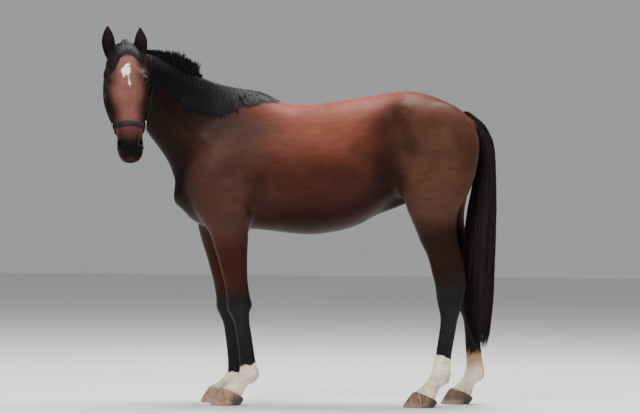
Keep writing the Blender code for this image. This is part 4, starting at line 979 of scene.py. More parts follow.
def markings(points):
    # red, green, blue and white at each point, and how bare the skin is there
    colour, white = legMarkings(points, blended(folded(points), bodyTones), np.zeros(len(points)))
    local = inHead(points)
    flat, a = folded(local), local[:, 0]
    onHead = nearHead(points, 0.28, -0.10, 0.50)
    share = eased(-0.05, 0.04, a + 0.35 * (local[:, 2] + 0.10))
    share *= eased(0.150, 0.116, flat[:, 1]) * eased(-0.31, -0.25, local[:, 2])
    headShare = np.where(onHead, share, 0)
    crest = eased(0.055, 0.025, pathDistance(folded(points), crestLine)[0]) * (1 - headShare)
    colour = mixed(colour, toneOf("mane"), crest)
    colour = mixed(colour, blended(flat, faceTones), headShare)
    field = np.clip(starField(a, local[:, 1]), 0, 1)
    white = np.maximum(white, np.where(onHead & (local[:, 2] > -0.02), field, 0))
    for key, (along, aside, normal, length) in head["ears"].items():
        near = onHead & (a < along + 0.01) & (local[:, 1] * aside > 0) & (flat[:, 1] > 0.025)
        grid, wide, front = earGrid(key)
        q = points - atHead(along, aside, normal)
        inside = eased(0.006, 0.000, np.abs(q @ wide) - 0.026) * eased(-0.016, -0.006, q @ front)
        share = np.where(near, eased(0.02, -0.03, a - along), 0)
        colour = mixed(colour, toneOf("earBack"), share)
        colour = mixed(colour, toneOf("earInside"), share * inside * 0.9)
        white = np.where(near & (share > 0.2), 0, white)
    nostrilAway = lengths(flat - np.array(nostril["centre"]))
    lidAway = lengths(flat - np.array(eye["centre"]) - 0.024 * sideAxes(eye)[0])
    bare = np.maximum(eased(0.034, 0.014, nostrilAway), eased(0.033, 0.022, lidAway))
    lips = eased(0.014, 0.005, np.abs(local[:, 2] - mouth["level"]))
    lips *= eased(mouth["from"] - 0.01, mouth["from"] + 0.02, a)
    bare = np.where(onHead, np.maximum(bare, lips), 0)
    colour = mixed(colour, toneOf("bare"), bare * 0.85)
    return np.hstack([colour, white[:, None]]), bare


def unwrapped(points):
    # the skin in charts: trunk and neck round their length, the head round its own, the legs upright
    made = np.zeros((len(points), 2))
    x, y, z = points.T
    made[:, 0] = 0.05 + 0.40 * (x + 1.0) / 1.9
    made[:, 1] = 0.30 + 0.25 * (np.arctan2(y - np.interp(x, (-0.95, -0.45), (-0.27, 0)),
                                           z - np.interp(x, (-0.95, -0.45, 0.8), (1.65, 1.25, 1.25))) / np.pi)
    local = inHead(points)
    onHead = nearHead(points, 0.25, -0.10, 0.44)
    turn = np.arctan2(local[:, 1], local[:, 2] + 0.10) / np.pi
    made[onHead] = np.stack([0.75 + 0.20 * turn, 0.15 + 0.40 * local[:, 0]], 1)[onHead]
    for number, joints in enumerate(legs.values()):
        upwards = np.array(joints[::-1])
        middle = np.stack([np.interp(z, upwards[:, 2], upwards[:, k]) for k in (0, 1)], 1)
        around = np.arctan2(y - middle[:, 1], x - middle[:, 0]) / np.pi
        mine = (z < 0.80) & (np.hypot(x - middle[:, 0], y - middle[:, 1]) < 0.16) & (y * joints[0][1] > 0)
        made[mine] = np.stack([0.12 + 0.22 * number + 0.08 * around, 0.60 + 0.45 * z], 1)[mine]
    return made


def setColours(mesh, name, values):
    layer = mesh.color_attributes.new(name, "FLOAT_COLOR", "POINT")
    layer.data.foreach_set("color", np.asarray(values, np.float32).ravel())


# the lie of the coat: back along the neck and trunk, down the legs, down the face and back over the cheeks

lies = {"trunk": (0.93, 0.0, -0.36), "croup": (0.45, 0, -0.90), "legs": (0.10, 0, -1.0),
        "neck": (0.62, 0.20, -0.76)}


def coatLie(points):
    x, z = points[:, 0], points[:, 2]
    local = inHead(points)
    down = eased(0.95, 0.75, z)
    face = headTurn[0] - headTurn[2] * eased(0.03, 0.10, np.abs(local[:, 1]))[:, None] * 0.55
    onFace = nearHead(points, 0.28, -0.10, 0.44) * eased(0.0, 0.05, local[:, 0])
    lie = np.tile(lies["trunk"], (len(points), 1))
    for direction, share in ((lies["croup"], eased(0.40, 0.75, x)), (lies["legs"], down),
                             (lies["neck"], eased(-0.45, -0.60, x) * (1 - down)), (face, onFace)):
        lie = lie * (1 - share[:, None]) + np.array(direction) * share[:, None]
    ears = (local[:, 0] < 0.0) & (fromHead(points, -0.06, -0.03) < 0.20) & (z > 1.80)
    lie[ears] = -headTurn[0] + 0.25 * headTurn[2]
    return unit(lie)


def setMarks(mesh):
    # the coat's colour, then how bare the skin is and how upright the hair lies
    points = pointsOf(mesh)
    colour, bare = markings(points)
    setColours(mesh, "coatColour", colour)
    setColours(mesh, "coatMarks", np.stack([bare, np.abs(coatLie(points)[:, 2]), 0 * bare, 0 * bare + 1], 1))
    return colour


skinColour = setMarks(skin.data)
report("markings set")


# locks of hair: three-sided tapering prisms along paths, all made as arrays

def hairPiece(name, paths, widths, flatness, across, colours, facing, spread=0.75):
    # rows of rings: each has two corners at the lock's edges and one on top; facing gives the skin's normals
    count, rings = paths.shape[:2]
    along = unit(np.gradient(paths, axis=1))
    side = beside(across, along)
    top = np.cross(along, side)
    half = side * widths[..., None] / 2
    grid = np.stack([paths - half, paths + half, paths + top * (widths * flatness)[..., None]], 2)
    start = (np.arange(count) * rings * 3)[:, None, None]
    i, j = np.arange(rings - 1)[None, :, None], np.arange(3)[None, None, :]
    a, b = start + i * 3 + j, start + i * 3 + (j + 1) % 3
    quads = np.stack([a, b, b + 3, a + 3], -1).reshape(-1, 4)
    first = start[:, 0] + np.array([2, 1, 0])
    last = start[:, 0] + (rings - 1) * 3 + np.array([0, 1, 2])
    piece = pieceFrom(name, settled(grid.reshape(-1, 3)), quads, first, last)
    setColours(piece.data, "coatColour", np.repeat(colours, rings * 3, axis=0))
    place = np.broadcast_to(np.linspace(0, 1, rings)[None, :, None], (count, rings, 3)).reshape(-1, 1)
    setColours(piece.data, "coatMarks", np.hstack([place * 0, place, place * 0, place * 0 + 1]))
    facing = np.broadcast_to(facing, paths.shape)[:, :, None, :]
    bent = unit(facing + np.stack([-side, side, top], 2) * spread).reshape(-1, 3)
    piece.data.normals_split_custom_set_from_vertices(settled(bent) - settled(np.zeros((1, 3))))
    patch = 0.003  # each lock's share of the unwrap, at its root's place
    home = unwrapped(paths[:, 0])[:, None, None, None, :]
    u = (np.array([0, 1, 1, 0]) + j[..., None]) / 3
    v = (np.array([0, 0, 1, 1]) + i[..., None]) / (rings - 1)
    flat = np.broadcast_to(np.stack(np.broadcast_arrays(u, v), -1), (count, rings - 1, 3, 4, 2))
    corners = (home + flat * patch).reshape(-1, 2)
    ends = np.array([[0, 0], [1, 0], [0.5, 0.3]])
    rootEnds = (home[:, 0, 0] + ends * patch).reshape(-1, 2)
    tipEnds = (home[:, 0, 0] + (ends + [0, 0.7]) * patch).reshape(-1, 2)
    piece.data.uv_layers.new(name="OFBake").data.foreach_set(
        "uv", np.vstack([corners, rootEnds, tipEnds]).astype(np.float32).ravel())
    return piece


def skinSamples(density, count, chance):
    # random places on the skin, as many for its area as the density says
    mesh = skin.data
    points, normals = pointsOf(mesh), normalsOf(mesh)
    corners = trianglesOf(mesh)
    a, b, c = (points[corners[:, k]] for k in range(3))
    weight = lengths(np.cross(b - a, c - a)) * density(points)[corners].mean(1)
    picked = np.searchsorted(np.cumsum(weight) / weight.sum(), chance.random(count))
    picked = corners[np.minimum(picked, len(corners) - 1)]
    share = chance.dirichlet((1, 1, 1), count)
    blend = [np.einsum("nk,nkd->nd", share, values[picked]) for values in (points, normals, skinColour)]
    return blend[0], unit(blend[1]), blend[2]


def tufts(name, density, count, length, width, rise, seed):
    # short locks that leave the skin at a low angle and bend back to it
    chance = np.random.default_rng(seed)
    spots, normals, colours = skinSamples(density, count, chance)
    lie = coatLie(spots)
    lie = unit(lie + chance.normal(0, 0.12, lie.shape))
    lie = beside(lie, normals)
    reach = length * chance.uniform(0.65, 1.35, count)[:, None]
    t, sunk = np.array([[0, 0.5, 1.0], [-0.0006, 0, 0]])[:, None, :, None]
    up = sunk + rise * (t - 0.5 * t ** 2) * reach[:, None]
    paths = spots[:, None] + lie[:, None] * reach[:, None] * t + normals[:, None] * up
    taper = np.array([0.8, 1.0, 0.12])[None] * chance.uniform(0.7, 1.2, (count, 1)) * width
    across = np.cross(normals, lie)[:, None]
    shade = chance.uniform(0.92, 1.16, (count, 1))
    colours = np.hstack([colours[:, :3] * shade, colours[:, 3:]])
    return hairPiece(name, paths, taper, 0.14, across, colours, normals[:, None], 0.2)


# mane, forelock and tail: long locks over the shapes that the frame gives them

mane = {
    "locks": 3400, "width": 0.0070, "span": (-0.842, -0.262), "stand": 0.009, "clumps": 42,
    "lean": (0.010, 0.014),  # mean and spread
    "crest": [  # x and y where it is rooted
        (-0.94, -0.29), (-0.88, -0.225), (-0.811, -0.16), (-0.73, -0.10), (-0.632, -0.05), (-0.532, -0.02),
        (-0.435, 0.0),
    ],
    "edge": [  # x and height of its lower edge
        (-0.907, 1.660), (-0.869, 1.635), (-0.834, 1.620), (-0.792, 1.600), (-0.755, 1.580), (-0.709, 1.545),
        (-0.678, 1.500), (-0.635, 1.485), (-0.590, 1.482), (-0.550, 1.470), (-0.495, 1.478), (-0.435, 1.510),
        (-0.402, 1.520), (-0.360, 1.545), (-0.310, 1.566), (-0.270, 1.566), (-0.235, 1.562),
    ],
}
upright = {
    "locks": 1200, "width": 0.0075, "span": (-0.870, -0.600), "spike": 0.0335,
    "length": [  # x and length
        (-0.856, 0.008), (-0.836, 0.016), (-0.812, 0.028), (-0.794, 0.026), (-0.774, 0.042), (-0.754, 0.042),
        (-0.736, 0.058), (-0.718, 0.046), (-0.702, 0.066), (-0.684, 0.040), (-0.668, 0.056), (-0.652, 0.034),
        (-0.634, 0.056), (-0.616, 0.004),
    ],
}
forelock = {
    "locks": 1100, "start": -0.026, "width": 0.0040,
    "rows": [  # root and tip to the side, how far down
        (-0.044, -0.092, 0.125), (-0.034, -0.080, 0.172), (-0.022, -0.056, 0.140), (-0.010, -0.030, 0.078),
        (0.002, 0.004, 0.062), (0.010, 0.034, 0.070), (0.022, 0.066, 0.098), (0.034, 0.086, 0.118),
        (0.044, 0.092, 0.090),
    ],
}
tail = {
    "locks": 1700, "upperLocks": 700, "width": 0.008, "y": 0.004, "coreLength": 0.80, "coreWidth": 0.80,
    "rows": [  # rear edge, front edge, height, half width
        (0.762, 0.720, 1.492, 0.022), (0.800, 0.742, 1.462, 0.030), (0.836, 0.766, 1.425, 0.036),
        (0.862, 0.786, 1.380, 0.042), (0.884, 0.796, 1.320, 0.050), (0.893, 0.790, 1.230, 0.058),
        (0.896, 0.772, 1.120, 0.066), (0.897, 0.744, 0.980, 0.074), (0.896, 0.728, 0.840, 0.076),
        (0.889, 0.720, 0.690, 0.070), (0.884, 0.722, 0.540, 0.056), (0.874, 0.736, 0.430, 0.040),
        (0.862, 0.766, 0.345, 0.026), (0.846, 0.790, 0.275, 0.012),
    ],
}


def hairColours(tone, count, chance, spread=0.3):
    # most locks near the tone, a few lighter and browner
    shade = np.exp(chance.normal(0, spread, (count, 1)))
    warm = chance.uniform(0.9, 1.15, (count, 1))
    return np.hstack([linear(tones[tone])[None] * shade * np.hstack([warm, np.ones((count, 1)), 2 - warm]),
                      np.zeros((count, 1))])


skinRays = BVHTree.FromObject(skin, bpy.context.evaluated_depsgraph_get())


def onSkin(spots, direction, away=0.3):
    # each spot moved back against the direction and dropped along it onto the skin
    made, normals = spots.reshape(-1, 3).copy(), np.zeros((spots.size // 3, 3))
    ray = Vector(direction)
    for i, spot in enumerate(made):
        found = skinRays.ray_cast(Vector(spot) - ray * away, ray, away * 2)
        if found[0] is None:
            found = skinRays.find_nearest(Vector(spot))
        made[i], normals[i] = found[:2]
    return made.reshape(spots.shape), normals.reshape(spots.shape)


def rooted(t):
    # narrow at the root, so that no blunt end shows
    return np.minimum(0.25 + 7 * t, 1)


def gridAt(grid, u, v):
    # values between the rows and columns of a grid, at u and v from 0 to 1
    rows, columns = grid.shape[:2]
    a, b = np.clip(u, 0, 1) * (rows - 1.001), np.clip(v, 0, 1) * (columns - 1.001)
    i, j = a.astype(int), b.astype(int)
    s, t = (a - i)[..., None], (b - j)[..., None]
    return (grid[i, j] * (1 - s) * (1 - t) + grid[i + 1, j] * s * (1 - t)
            + grid[i, j + 1] * (1 - s) * t + grid[i + 1, j + 1] * s * t)


def maneLocks():
    # from the crest straight down the near side to the drawn edge, in clumps that part and close again
    chance = np.random.default_rng(11)
    xs, drops = np.linspace(-0.93, -0.20, 48), np.linspace(0.0, 0.30, 21)
    crest = np.stack([xs, np.interp(xs, *np.array(mane["crest"]).T), 0 * xs + 1.9], -1)
    top, normals = onSkin(crest, (0, 0, -1), 0.5)
    level = top[:, 2:3] - drops[None, :] - 0.004
    low = np.stack(np.broadcast_arrays(xs[:, None], crest[:, 1:2] - 0.08, level), -1)
    spots, facing = onSkin(low, (0, 1, 0), 0.14)
    spots[:, 0], facing[:, 0] = top, unit(normals + np.array([0, -1.0, 0]))
    count = mane["locks"]
    x = chance.uniform(*mane["span"], count)
    edge = np.interp(x, *np.array(mane["edge"]).T)
    height = np.interp(x, xs, top[:, 2])
    ragged = 1 + 0.10 * np.sin(x * 150) + 0.06 * np.sin(x * 67 + 1)
    fall = (height - edge) * chance.beta(7, 1.3, count) * ragged
    t = np.linspace(0, 1, 10)[None, :]
    clump = np.round(x * mane["clumps"] + 0.3 * np.sin(x * 90)) / mane["clumps"]
    lean = chance.normal(*mane["lean"], (count, 1)) + 0.012 * np.sin(x * 31)[:, None]
    lean += 0.030 * eased(-0.56, -0.42, x)[:, None]
    across = x[:, None] + lean * t ** 1.3 + (clump - x)[:, None] * 0.7 * t
    across += 0.004 * np.sin(t * 7 + chance.uniform(0, 6, (count, 1))) * t
    across += 0.03 * eased(-0.34, -0.24, x)[:, None] * t
    across = np.maximum(across, mane["span"][0] - 0.002 + 0.012 * chance.random((count, 1)))
    place = (across - xs[0]) / np.ptp(xs), fall[:, None] * t / drops[-1]
    flat, faced = gridAt(spots, *place), gridAt(facing, *place)
    layer = chance.uniform(0.2, 1.0, (count, 1))
    out = mane["stand"] * layer * (np.sin(np.minimum(t * 1.7, 1.57)) - 0.8 * t ** 3) + 0.0025
    out *= np.clip(fall[:, None] / 0.05, 0.35, 1)
    paths = flat + np.array([0, -1.0, 0.0]) * out[..., None]
    paths[..., 2] += 0.006 * bell(t * fall[:, None], 0.03) * layer
    paths[:, 0, 1] += chance.uniform(0.0, 0.014, count)
    paths[:, 0, 2] -= 0.009
    width = mane["width"] * chance.uniform(0.5, 1.2, (count, 1)) * (1.0 - 0.9 * t ** 2.2) * rooted(t)
    colours = hairColours("mane", count, chance)
    return hairPiece("mane_hair", paths, width, 0.28, np.array([-1.0, 0, 0]), colours, faced)


def uprightLocks():
    # stiff short hair along the crest near the poll, in uneven spikes
    chance = np.random.default_rng(12)
    count, spike, (first, last) = upright["locks"], upright["spike"], upright["span"]
    x = chance.uniform(first, last, count)
    x += 0.35 * (np.round((x - last) / spike) * spike + last - x) * chance.uniform(0.2, 1.0, count)
    tall = np.interp(x, *np.array(upright["length"]).T) * chance.uniform(0.55, 1.08, count) + 0.004
    rows = curveThrough(body["neck"], 20)
    crest = np.stack([x] + [np.interp(-x, -rows[:, 0], rows[:, k]) for k in (1, 2)], 1)
    crest += np.stack([0 * x, chance.uniform(-0.012, 0.010, count), 0 * x - 0.010], 1)
    onCrest = onSkin(crest, (0, 0, -1), 0.10)[0]
    tall = tall + crest[:, 2] - onCrest[:, 2] + 0.008
    crest = onCrest - np.array([0, 0, 0.008])
    t = np.linspace(0, 1, 6)[None, :, None]
    bend = np.stack([chance.normal(0.10, 0.18, count), chance.normal(-0.12, 0.20, count), np.ones(count)], 1)
    paths = crest[:, None] + t * tall[:, None, None] * bend[:, None]
    paths[..., 1] -= (t[..., 0] ** 2) * tall[:, None] * 0.15
    width = upright["width"] * chance.uniform(0.5, 1.1, (count, 1)) * (1 - 0.9 * t[..., 0] ** 1.5)
    across, facing = np.array([-1.0, 0.3, 0.0]), unit(np.array([-0.1, -1.0, 0.25]))
    colours = hairColours("mane", count, chance, 0.25)
    return hairPiece("crest_hair", paths, width, 0.3, across, colours, facing)


def forelockLocks():
    # parted over the forehead, each lock on the face and lifting off it at the middle
    chance = np.random.default_rng(13)
    a, b = np.meshgrid(np.linspace(-0.03, 0.19, 16), np.linspace(-0.11, 0.11, 19), indexing="ij")
    spots, normals = onSkin(atHead(a, b, 0.06), -headTurn[2])
    count = forelock["locks"]
    rows = np.array(forelock["rows"])
    pick = chance.uniform(0, len(rows) - 1, count)
    root, tip, down = (np.interp(pick, np.arange(len(rows)), rows[:, k]) for k in range(3))
    down = down * chance.beta(6, 1.5, count)
    t = np.linspace(0, 1, 9)[None, :]
    start = forelock["start"] + 0.45 * np.maximum(np.abs(root) - 0.012, 0)
    along = start[:, None] + chance.uniform(0, 0.016, (count, 1)) + t * (down - start)[:, None]
    side = root[:, None] + (tip - root)[:, None] * t ** 1.25 + 0.003 * np.sin(t * 7 + pick[:, None] * 5) * t
    place = (along + 0.03) / 0.22, (side + 0.11) / 0.22
    flat, faced = gridAt(spots, *place), gridAt(normals, *place)
    out = 0.003 + 0.009 * np.sin(np.pi * np.minimum(t + 0.1, 1)) * chance.uniform(0.3, 1, (count, 1))
    crown = (0.016 * bell(root, 0.020) * chance.uniform(0.2, 1.2, count))[:, None]
    crown = crown * eased(0.45, 0.10, t) * eased(-0.02, 0.12, t)
    paths = flat + headTurn[2] * out[..., None] - headTurn[0] * crown[..., None]
    paths[:, 0] -= headTurn[2] * 0.010 - headTurn[0] * 0.006
    width = forelock["width"] * chance.uniform(0.5, 1.2, (count, 1)) * (1 - 0.9 * t ** 2) * rooted(t)
    colours = hairColours("mane", count, chance) * 0.8
    return hairPiece("forelock_hair", paths, width, 0.3, headTurn[1], colours, faced)


def tailLocks(name, seed, count, startWithin, hollow):
    # each lock starts within the first share of the tail and keeps its place in the section as it runs down
    chance = np.random.default_rng(seed)
    rows = curveThrough(tail["rows"], 12)
    angle = chance.uniform(0, 2 * np.pi, count)
    spread = np.sqrt(chance.uniform(hollow, 1.0, count))
    start = chance.beta(1.1, 3.2, count) * startWithin
    finish = start + (1 - start) * chance.uniform(0.45, 0.97, count)
    finish = np.where(chance.random(count) < 0.55, 1 - 0.20 * chance.beta(2.2, 1.6, count), finish)
    t = np.linspace(0, 1, 15)[None, :]
    place = start[:, None] + (finish - start)[:, None] * t
    at = place * (len(rows) - 1)
    rear, front, z, half = (np.interp(at, np.arange(len(rows)), column) for column in rows.T)
    leave = 0.45 + 0.55 * eased(0, 0.25, t)
    wave = chance.uniform(0, 6.3, (count, 1))
    swirl = angle[:, None] + 0.10 * np.sin(place * 9 + wave) + 0.05 * np.sin(place * 23 + wave * 2)
    reach = spread[:, None] * leave * (0.94 + 0.04 * np.sin(place * 15 + wave))
    x = (rear + front) / 2 + (rear - front) / 2 * np.cos(swirl) * reach
    y = tail["y"] + half * np.sin(swirl) * reach
    paths = np.stack([x, y, z], -1)
    width = tail["width"] * chance.uniform(0.4, 1.1, (count, 1)) * (1 - 0.85 * t ** 3)
    across = np.stack([-np.sin(swirl), np.cos(swirl), 0 * swirl], -1)
    facing = np.stack([np.cos(swirl), np.sin(swirl), 0 * swirl + 0.15], -1)
    return hairPiece(name, paths, width, 0.35, across, hairColours("tail", count, chance), facing)


def tailCore():
    # a body under the locks, a little smaller than the tail, in the tail's tone darkened as painted shade
    # inside the tail
    rows = curveThrough(tail["rows"], 5)
    angle = np.arange(28) * 2 * np.pi / 28
    rows = rows[:int(len(rows) * tail["coreLength"])]
    rear, front, z, half = rows.T[:, :, None]
    share = tail["coreWidth"] - 0.60 * eased(0.6, 1.0, np.linspace(0, 1, len(rows)))[:, None]
    ridges = 1 + 0.06 * np.sin(angle * 9)[None] + 0.04 * np.sin(angle * 17 + 1)[None]
    grid = np.stack([(rear + front) / 2 + (rear - front) / 2 * share * ridges * np.cos(angle),
                     tail["y"] + half * share * ridges * np.sin(angle), z + 0 * angle], -1)
    piece = tubePiece("tail_shade_core", grid)
    count = len(piece.data.vertices)
    # the tail's tone at 0.7: painted shade inside the tail
    setColours(piece.data, "coatColour", np.tile(np.append(toneOf("tail") * 0.7, 0), (count, 1)))
    return piece


maneHair, crestHair, forelockHair = maneLocks(), uprightLocks(), forelockLocks()
upperTail = tailLocks("tail_upper", 14, tail["upperLocks"], 0.30, 0.25)
lowerTail = tailLocks("tail_lower", 15, tail["locks"], 0.55, 0.35)
coreOfTail = tailCore()
report("mane, forelock and tail")


# tufts of the coat where it breaks the outline

def bodyDensity(points):
    return (points[:, 2] > 0.62) * eased(-0.80, -0.70, points[:, 0])


def neckDensity(points):
    return eased(-0.66, -0.76, points[:, 0]) * (points[:, 2] > 0.9)


def legDensity(points):
    height = points[:, 2]
    return (height < 0.66) * (1 + 3 * eased(0.20, 0.12, height)) * (height > 0.05)


def fringeDensity(points):
    # a ring of hair over each coronet, and the longer hair behind each fetlock
    share = np.zeros(len(points))
    for leg, joints in legs.items():
        middle, near, over = coronet(leg, points)
        share = np.where(near, eased(0.002, 0.006, over) * eased(0.022, 0.014, over), share)
        behindFetlock = np.array(joints[2]) + np.array([0.045, 0, -0.02])
        away = lengths(points - behindFetlock)
        share = np.maximum(share, eased(0.045, 0.025, away))
    return share


coatPieces = {  # where, how many tufts, length, width, how steeply they leave the skin, seed
    "coat_body": (bodyDensity, 13500, 0.015, 0.0018, 0.015, 21),
    "coat_neck_head": (neckDensity, 12500, 0.008, 0.0012, 0.02, 22),
    "coat_legs": (legDensity, 13000, 0.011, 0.0016, 0.06, 23),
    "coat_fringes": (fringeDensity, 3800, 0.020, 0.0017, 0.10, 24),
}
coatTufts = {name: tufts(name, *row) for name, row in coatPieces.items()}
report("tufts")


# hooves: rings of one outline from the ground to the coronet, with growth rings round the wall

hoofShape = {"inset": 0.004, "flare": 0.010, "rings": 13, "ringDepth": 0.0004, "band": 0.93,
             "bandDepth": 0.0016, "arch": 0.007, "heelDrop": 0.006, "heelBulb": 0.008}


def hoofGrid(leg):
    # the outline is an ellipse that narrows to the heels; its rings climb from the ground to the coronet,
    # which arches over the toe and drops to rounded heels
    toe, heel, front, back, width = hoofSizes[leg]
    t = np.concatenate([[0.0, 0.015, 0.05], np.linspace(0.09, 0.90, 36),
                        0.90 + 0.10 * np.sin(np.linspace(0.2, 1.57, 7))])[:, None]
    angle = np.arange(72)[None] * 2 * np.pi / 72
    c, s = np.cos(angle), np.sin(angle)
    share = (1 - np.sign(c) * np.abs(c) ** 0.9) / 2
    x = (toe + (front[0] - toe) * t) * (1 - share) + (heel + (back[0] - heel) * t) * share
    slope = (back[1] - front[1]) / (back[0] - front[0])
    ground = np.tan(np.radians(stand["tilt"])) * (stand["hinge"] - x) + 0.0006
    arch = hoofShape["arch"] * np.sin(np.pi * np.clip(share, 0, 1))
    high = front[1] + (x - front[0]) * slope + arch - hoofShape["heelDrop"] * share ** 6
    z = ground * (1 - t) + high * t
    edge = hoofShape["inset"] * (eased(0.05, 0.0, t) + 2.2 * eased(0.88, 1.0, t)) + 0.0006
    growth = np.sin(t * hoofShape["rings"] * 2 * np.pi) * eased(0.05, 0.15, t) * eased(0.9, 0.8, t)
    rings = hoofShape["ringDepth"] * growth
    bulge = hoofShape["bandDepth"] * bell(t - hoofShape["band"], 0.05)
    heelBulb = hoofShape["heelBulb"] * eased(0.78, 1.0, share) * np.sin(np.pi * t) ** 1.5
    half = width - hoofShape["flare"] * t - edge + rings + bulge - 0.0012
    y = legs[leg][3][1] + half * np.sign(s) * np.abs(s) ** 0.95 * (1 - 0.20 * np.maximum(0, -c) ** 2)
    return np.stack([x + (edge - rings - bulge) * c + heelBulb, y, z], -1)


def hoofPiece(leg, name):
    # the wall's rings, drawn in over a slightly hollow sole and over the top inside the skin
    grid = hoofGrid(leg)
    sole = grid[0].mean(0) + np.array([0.008, 0, 0.004])
    crown = grid[-1].mean(0)
    under = [sole + (grid[0] - sole) * share + [0, 0, 0.006 * (1 - share) ** 0.5]
             for share in (0.25, 0.6, 0.9)]
    over = [crown + (grid[-1] - crown) * share + [0, 0, 0.002 * (1 - share)] for share in (0.85, 0.4)]
    piece = tubePiece(name, np.concatenate([under, grid, over]))
    points = pointsOf(piece.data)
    points[:, 2] = np.maximum(points[:, 2], 0.0003)
    setPoints(piece.data, points)
    x, z = points[:, 0], points[:, 2]
    back = (x - x.min()) / np.ptp(x)
    setColours(piece.data, "hoofMarks", np.stack([back, z / z.max(), 0 * x, 0 * x + 1], 1))
    return piece


hoofPieces = {leg: hoofPiece(leg, "horn_" + leg.replace("L", "_l").replace("R", "_r")) for leg in legs}


# eyes: balls with the cornea's slight bulge, and where each point lies in the eye's own axes

def eyeAxes(sign):
    # its centre, and its axes out of the head, along the slit and across it
    return (np.array(axis) * np.array([1, sign, 1]) for axis in (eye["centre"], *sideAxes(eye)))


def eyePiece(name, sign):
    centre, out, along, across = eyeAxes(sign)
    polar = np.linspace(0, np.pi, 40)[1:-1, None]
    turn = np.arange(64)[None] * 2 * np.pi / 64
    wide = np.sin(polar)
    ball = np.stack([wide * np.cos(turn), wide * np.sin(turn), np.cos(polar) + 0 * turn], -1)
    ball = np.concatenate([np.full((1, 64, 3), [0, 0, 1.0]), ball, np.full((1, 64, 3), [0, 0, -1.0])])
    ball[[0, -1], :, 0:2] = 0.004 * np.stack([np.cos(turn[0]), np.sin(turn[0])], -1)
    bulge = 1 + eye["bulge"] * eased(0.55, 0.95, ball[..., 2])
    flat = ball * eye["radius"] * bulge[..., None]
    local = centre + flat[..., :1] * along + flat[..., 1:2] * across + flat[..., 2:] * out
    piece = tubePiece(name, poll + local @ headTurn)
    layer = piece.data.attributes.new("eyeAxes", "FLOAT_VECTOR", "POINT")
    layer.data.foreach_set("vector", ball.reshape(-1, 3).astype(np.float32).ravel())
    return piece


lash = {"count": 60, "span": (-0.85, 0.70), "length": (0.010, 0.017), "width": 0.0006}


def lashHairs():
    # a row of short hairs on the edge of each upper lid, which curve up
    chance = np.random.default_rng(16)
    count, paths, facing = lash["count"], [], []
    for sign in (1, -1):
        centre, out, along, across = eyeAxes(sign)
        a = np.linspace(*lash["span"], count) * eye["length"] + chance.normal(0, 0.0004, count)
        share = a / eye["length"]
        b = (eye["above"] + chance.uniform(0.0004, 0.0022, count)) * np.sqrt(1 - np.abs(share) ** 1.7)
        over = eye["radius"] + eye["lid"]
        root = centre + a[:, None] * along + b[:, None] * across
        root = root + (np.sqrt(over ** 2 - a ** 2 - b ** 2) - 0.0015)[:, None] * out
        t = np.linspace(0, 1, 5)[None, :, None]
        reach = chance.uniform(*lash["length"], count)[:, None, None]
        path = root[:, None] + reach * (t * out - 0.25 * t * across + 0.45 * t ** 2 * across
                                        + (share * 0.4)[:, None, None] * t * along)
        paths.append(poll + path @ headTurn)
        facing.append(np.broadcast_to(out @ headTurn, path.shape))
    paths, facing = np.concatenate(paths), np.concatenate(facing)
    width = lash["width"] * (1 - 0.8 * np.linspace(0, 1, 5))
    colours = hairColours("muzzle", len(paths), chance)
    return hairPiece("lash_hair", paths, width, 0.8, headTurn[0], colours, facing)


eyePieces = [eyePiece("eye_ball_left", 1), eyePiece("eye_ball_right", -1)]
lashes = lashHairs()
report("hooves and eyes")


# the halter: straps laid on the skin, each a rounded band carried along its path, and a ring on each cheek

halter = {
    "noseband": 0.426, "noseAxis": -0.075, "noseWidth": 0.027, "cheekWidth": 0.018, "thickness": 0.0045,
    "cheek": [  # down the face, and how far behind it
        (0.415, -0.075), (0.370, -0.080), (0.330, -0.086), (0.260, -0.096), (0.190, -0.104), (0.120, -0.104),
        (0.060, -0.092), (0.044, -0.090),
    ],
    "crown": (0.060, -0.092, 52, 180),  # where it turns round, and from which angle to which
    "reach": {"nose": 0.12, "cheek": 0.128, "crown": 0.135},  # at most so far from the head's middle
    "lift": {"nose": 0.0012, "cheek": 0.0015, "crown": 0.0035},
    "ring": 0.019, "wire": 0.0030, "ringPlace": (0.008, 0.0085),  # over the strap's end, and out from it
}


def loopPiece(name, grid):
    # a tube whose last ring meets its first
    rows, columns = grid.shape[:2]
    cells = gridFaces(rows + 1, columns) % (rows * columns)
    return turnedOut(pieceFrom(name, settled(grid.reshape(-1, 3)), cells))


def strapPiece(name, middles, outward, width, closed=False):
    # a band's section: flat beneath, edges rounded, and a shallow groove for the stitching near each edge
    v = np.linspace(-1, 1, 23)
    top = halter["thickness"] * (1 - 0.55 * np.abs(v) ** 8) - 0.0005 * bell(np.abs(v) - 0.74, 0.05)
    half = v * width / 2
    section = np.concatenate([np.stack([half, top], 1), np.stack([half[::-1] * 0.98, 0 * v], 1)])
    ahead = np.roll(middles, -1, 0) - np.roll(middles, 1, 0) if closed else np.gradient(middles, axis=0)
    ahead = unit(ahead)
    side = unit(np.cross(ahead, outward))
    out = np.cross(side, ahead)
    grid = middles[:, None] + side[:, None] * section[None, :, :1] + out[:, None] * section[None, :, 1:]
    return loopPiece(name, grid) if closed else tubePiece(name, grid)


def ringPiece(name, middle, axis, across):
    # a wire carried round a circle
    turn = np.arange(72)[:, None] * 2 * np.pi / 72
    out = across * np.cos(turn) + np.cross(axis, across) * np.sin(turn)
    small = np.arange(16) * 2 * np.pi / 16
    grid = middle + out[:, None] * (halter["ring"] + halter["wire"] * np.cos(small))[None, :, None]
    return loopPiece(name, grid + axis * (halter["wire"] * np.sin(small))[None, :, None])


def smoothLine(points, rounds, closed=False):
    for turn in range(rounds):
        middle = (np.roll(points, 1, 0) + np.roll(points, -1, 0)) / 2
        if not closed:
            middle[[0, -1]] = points[[0, -1]]
        points = points * 0.5 + middle * 0.5
    return points


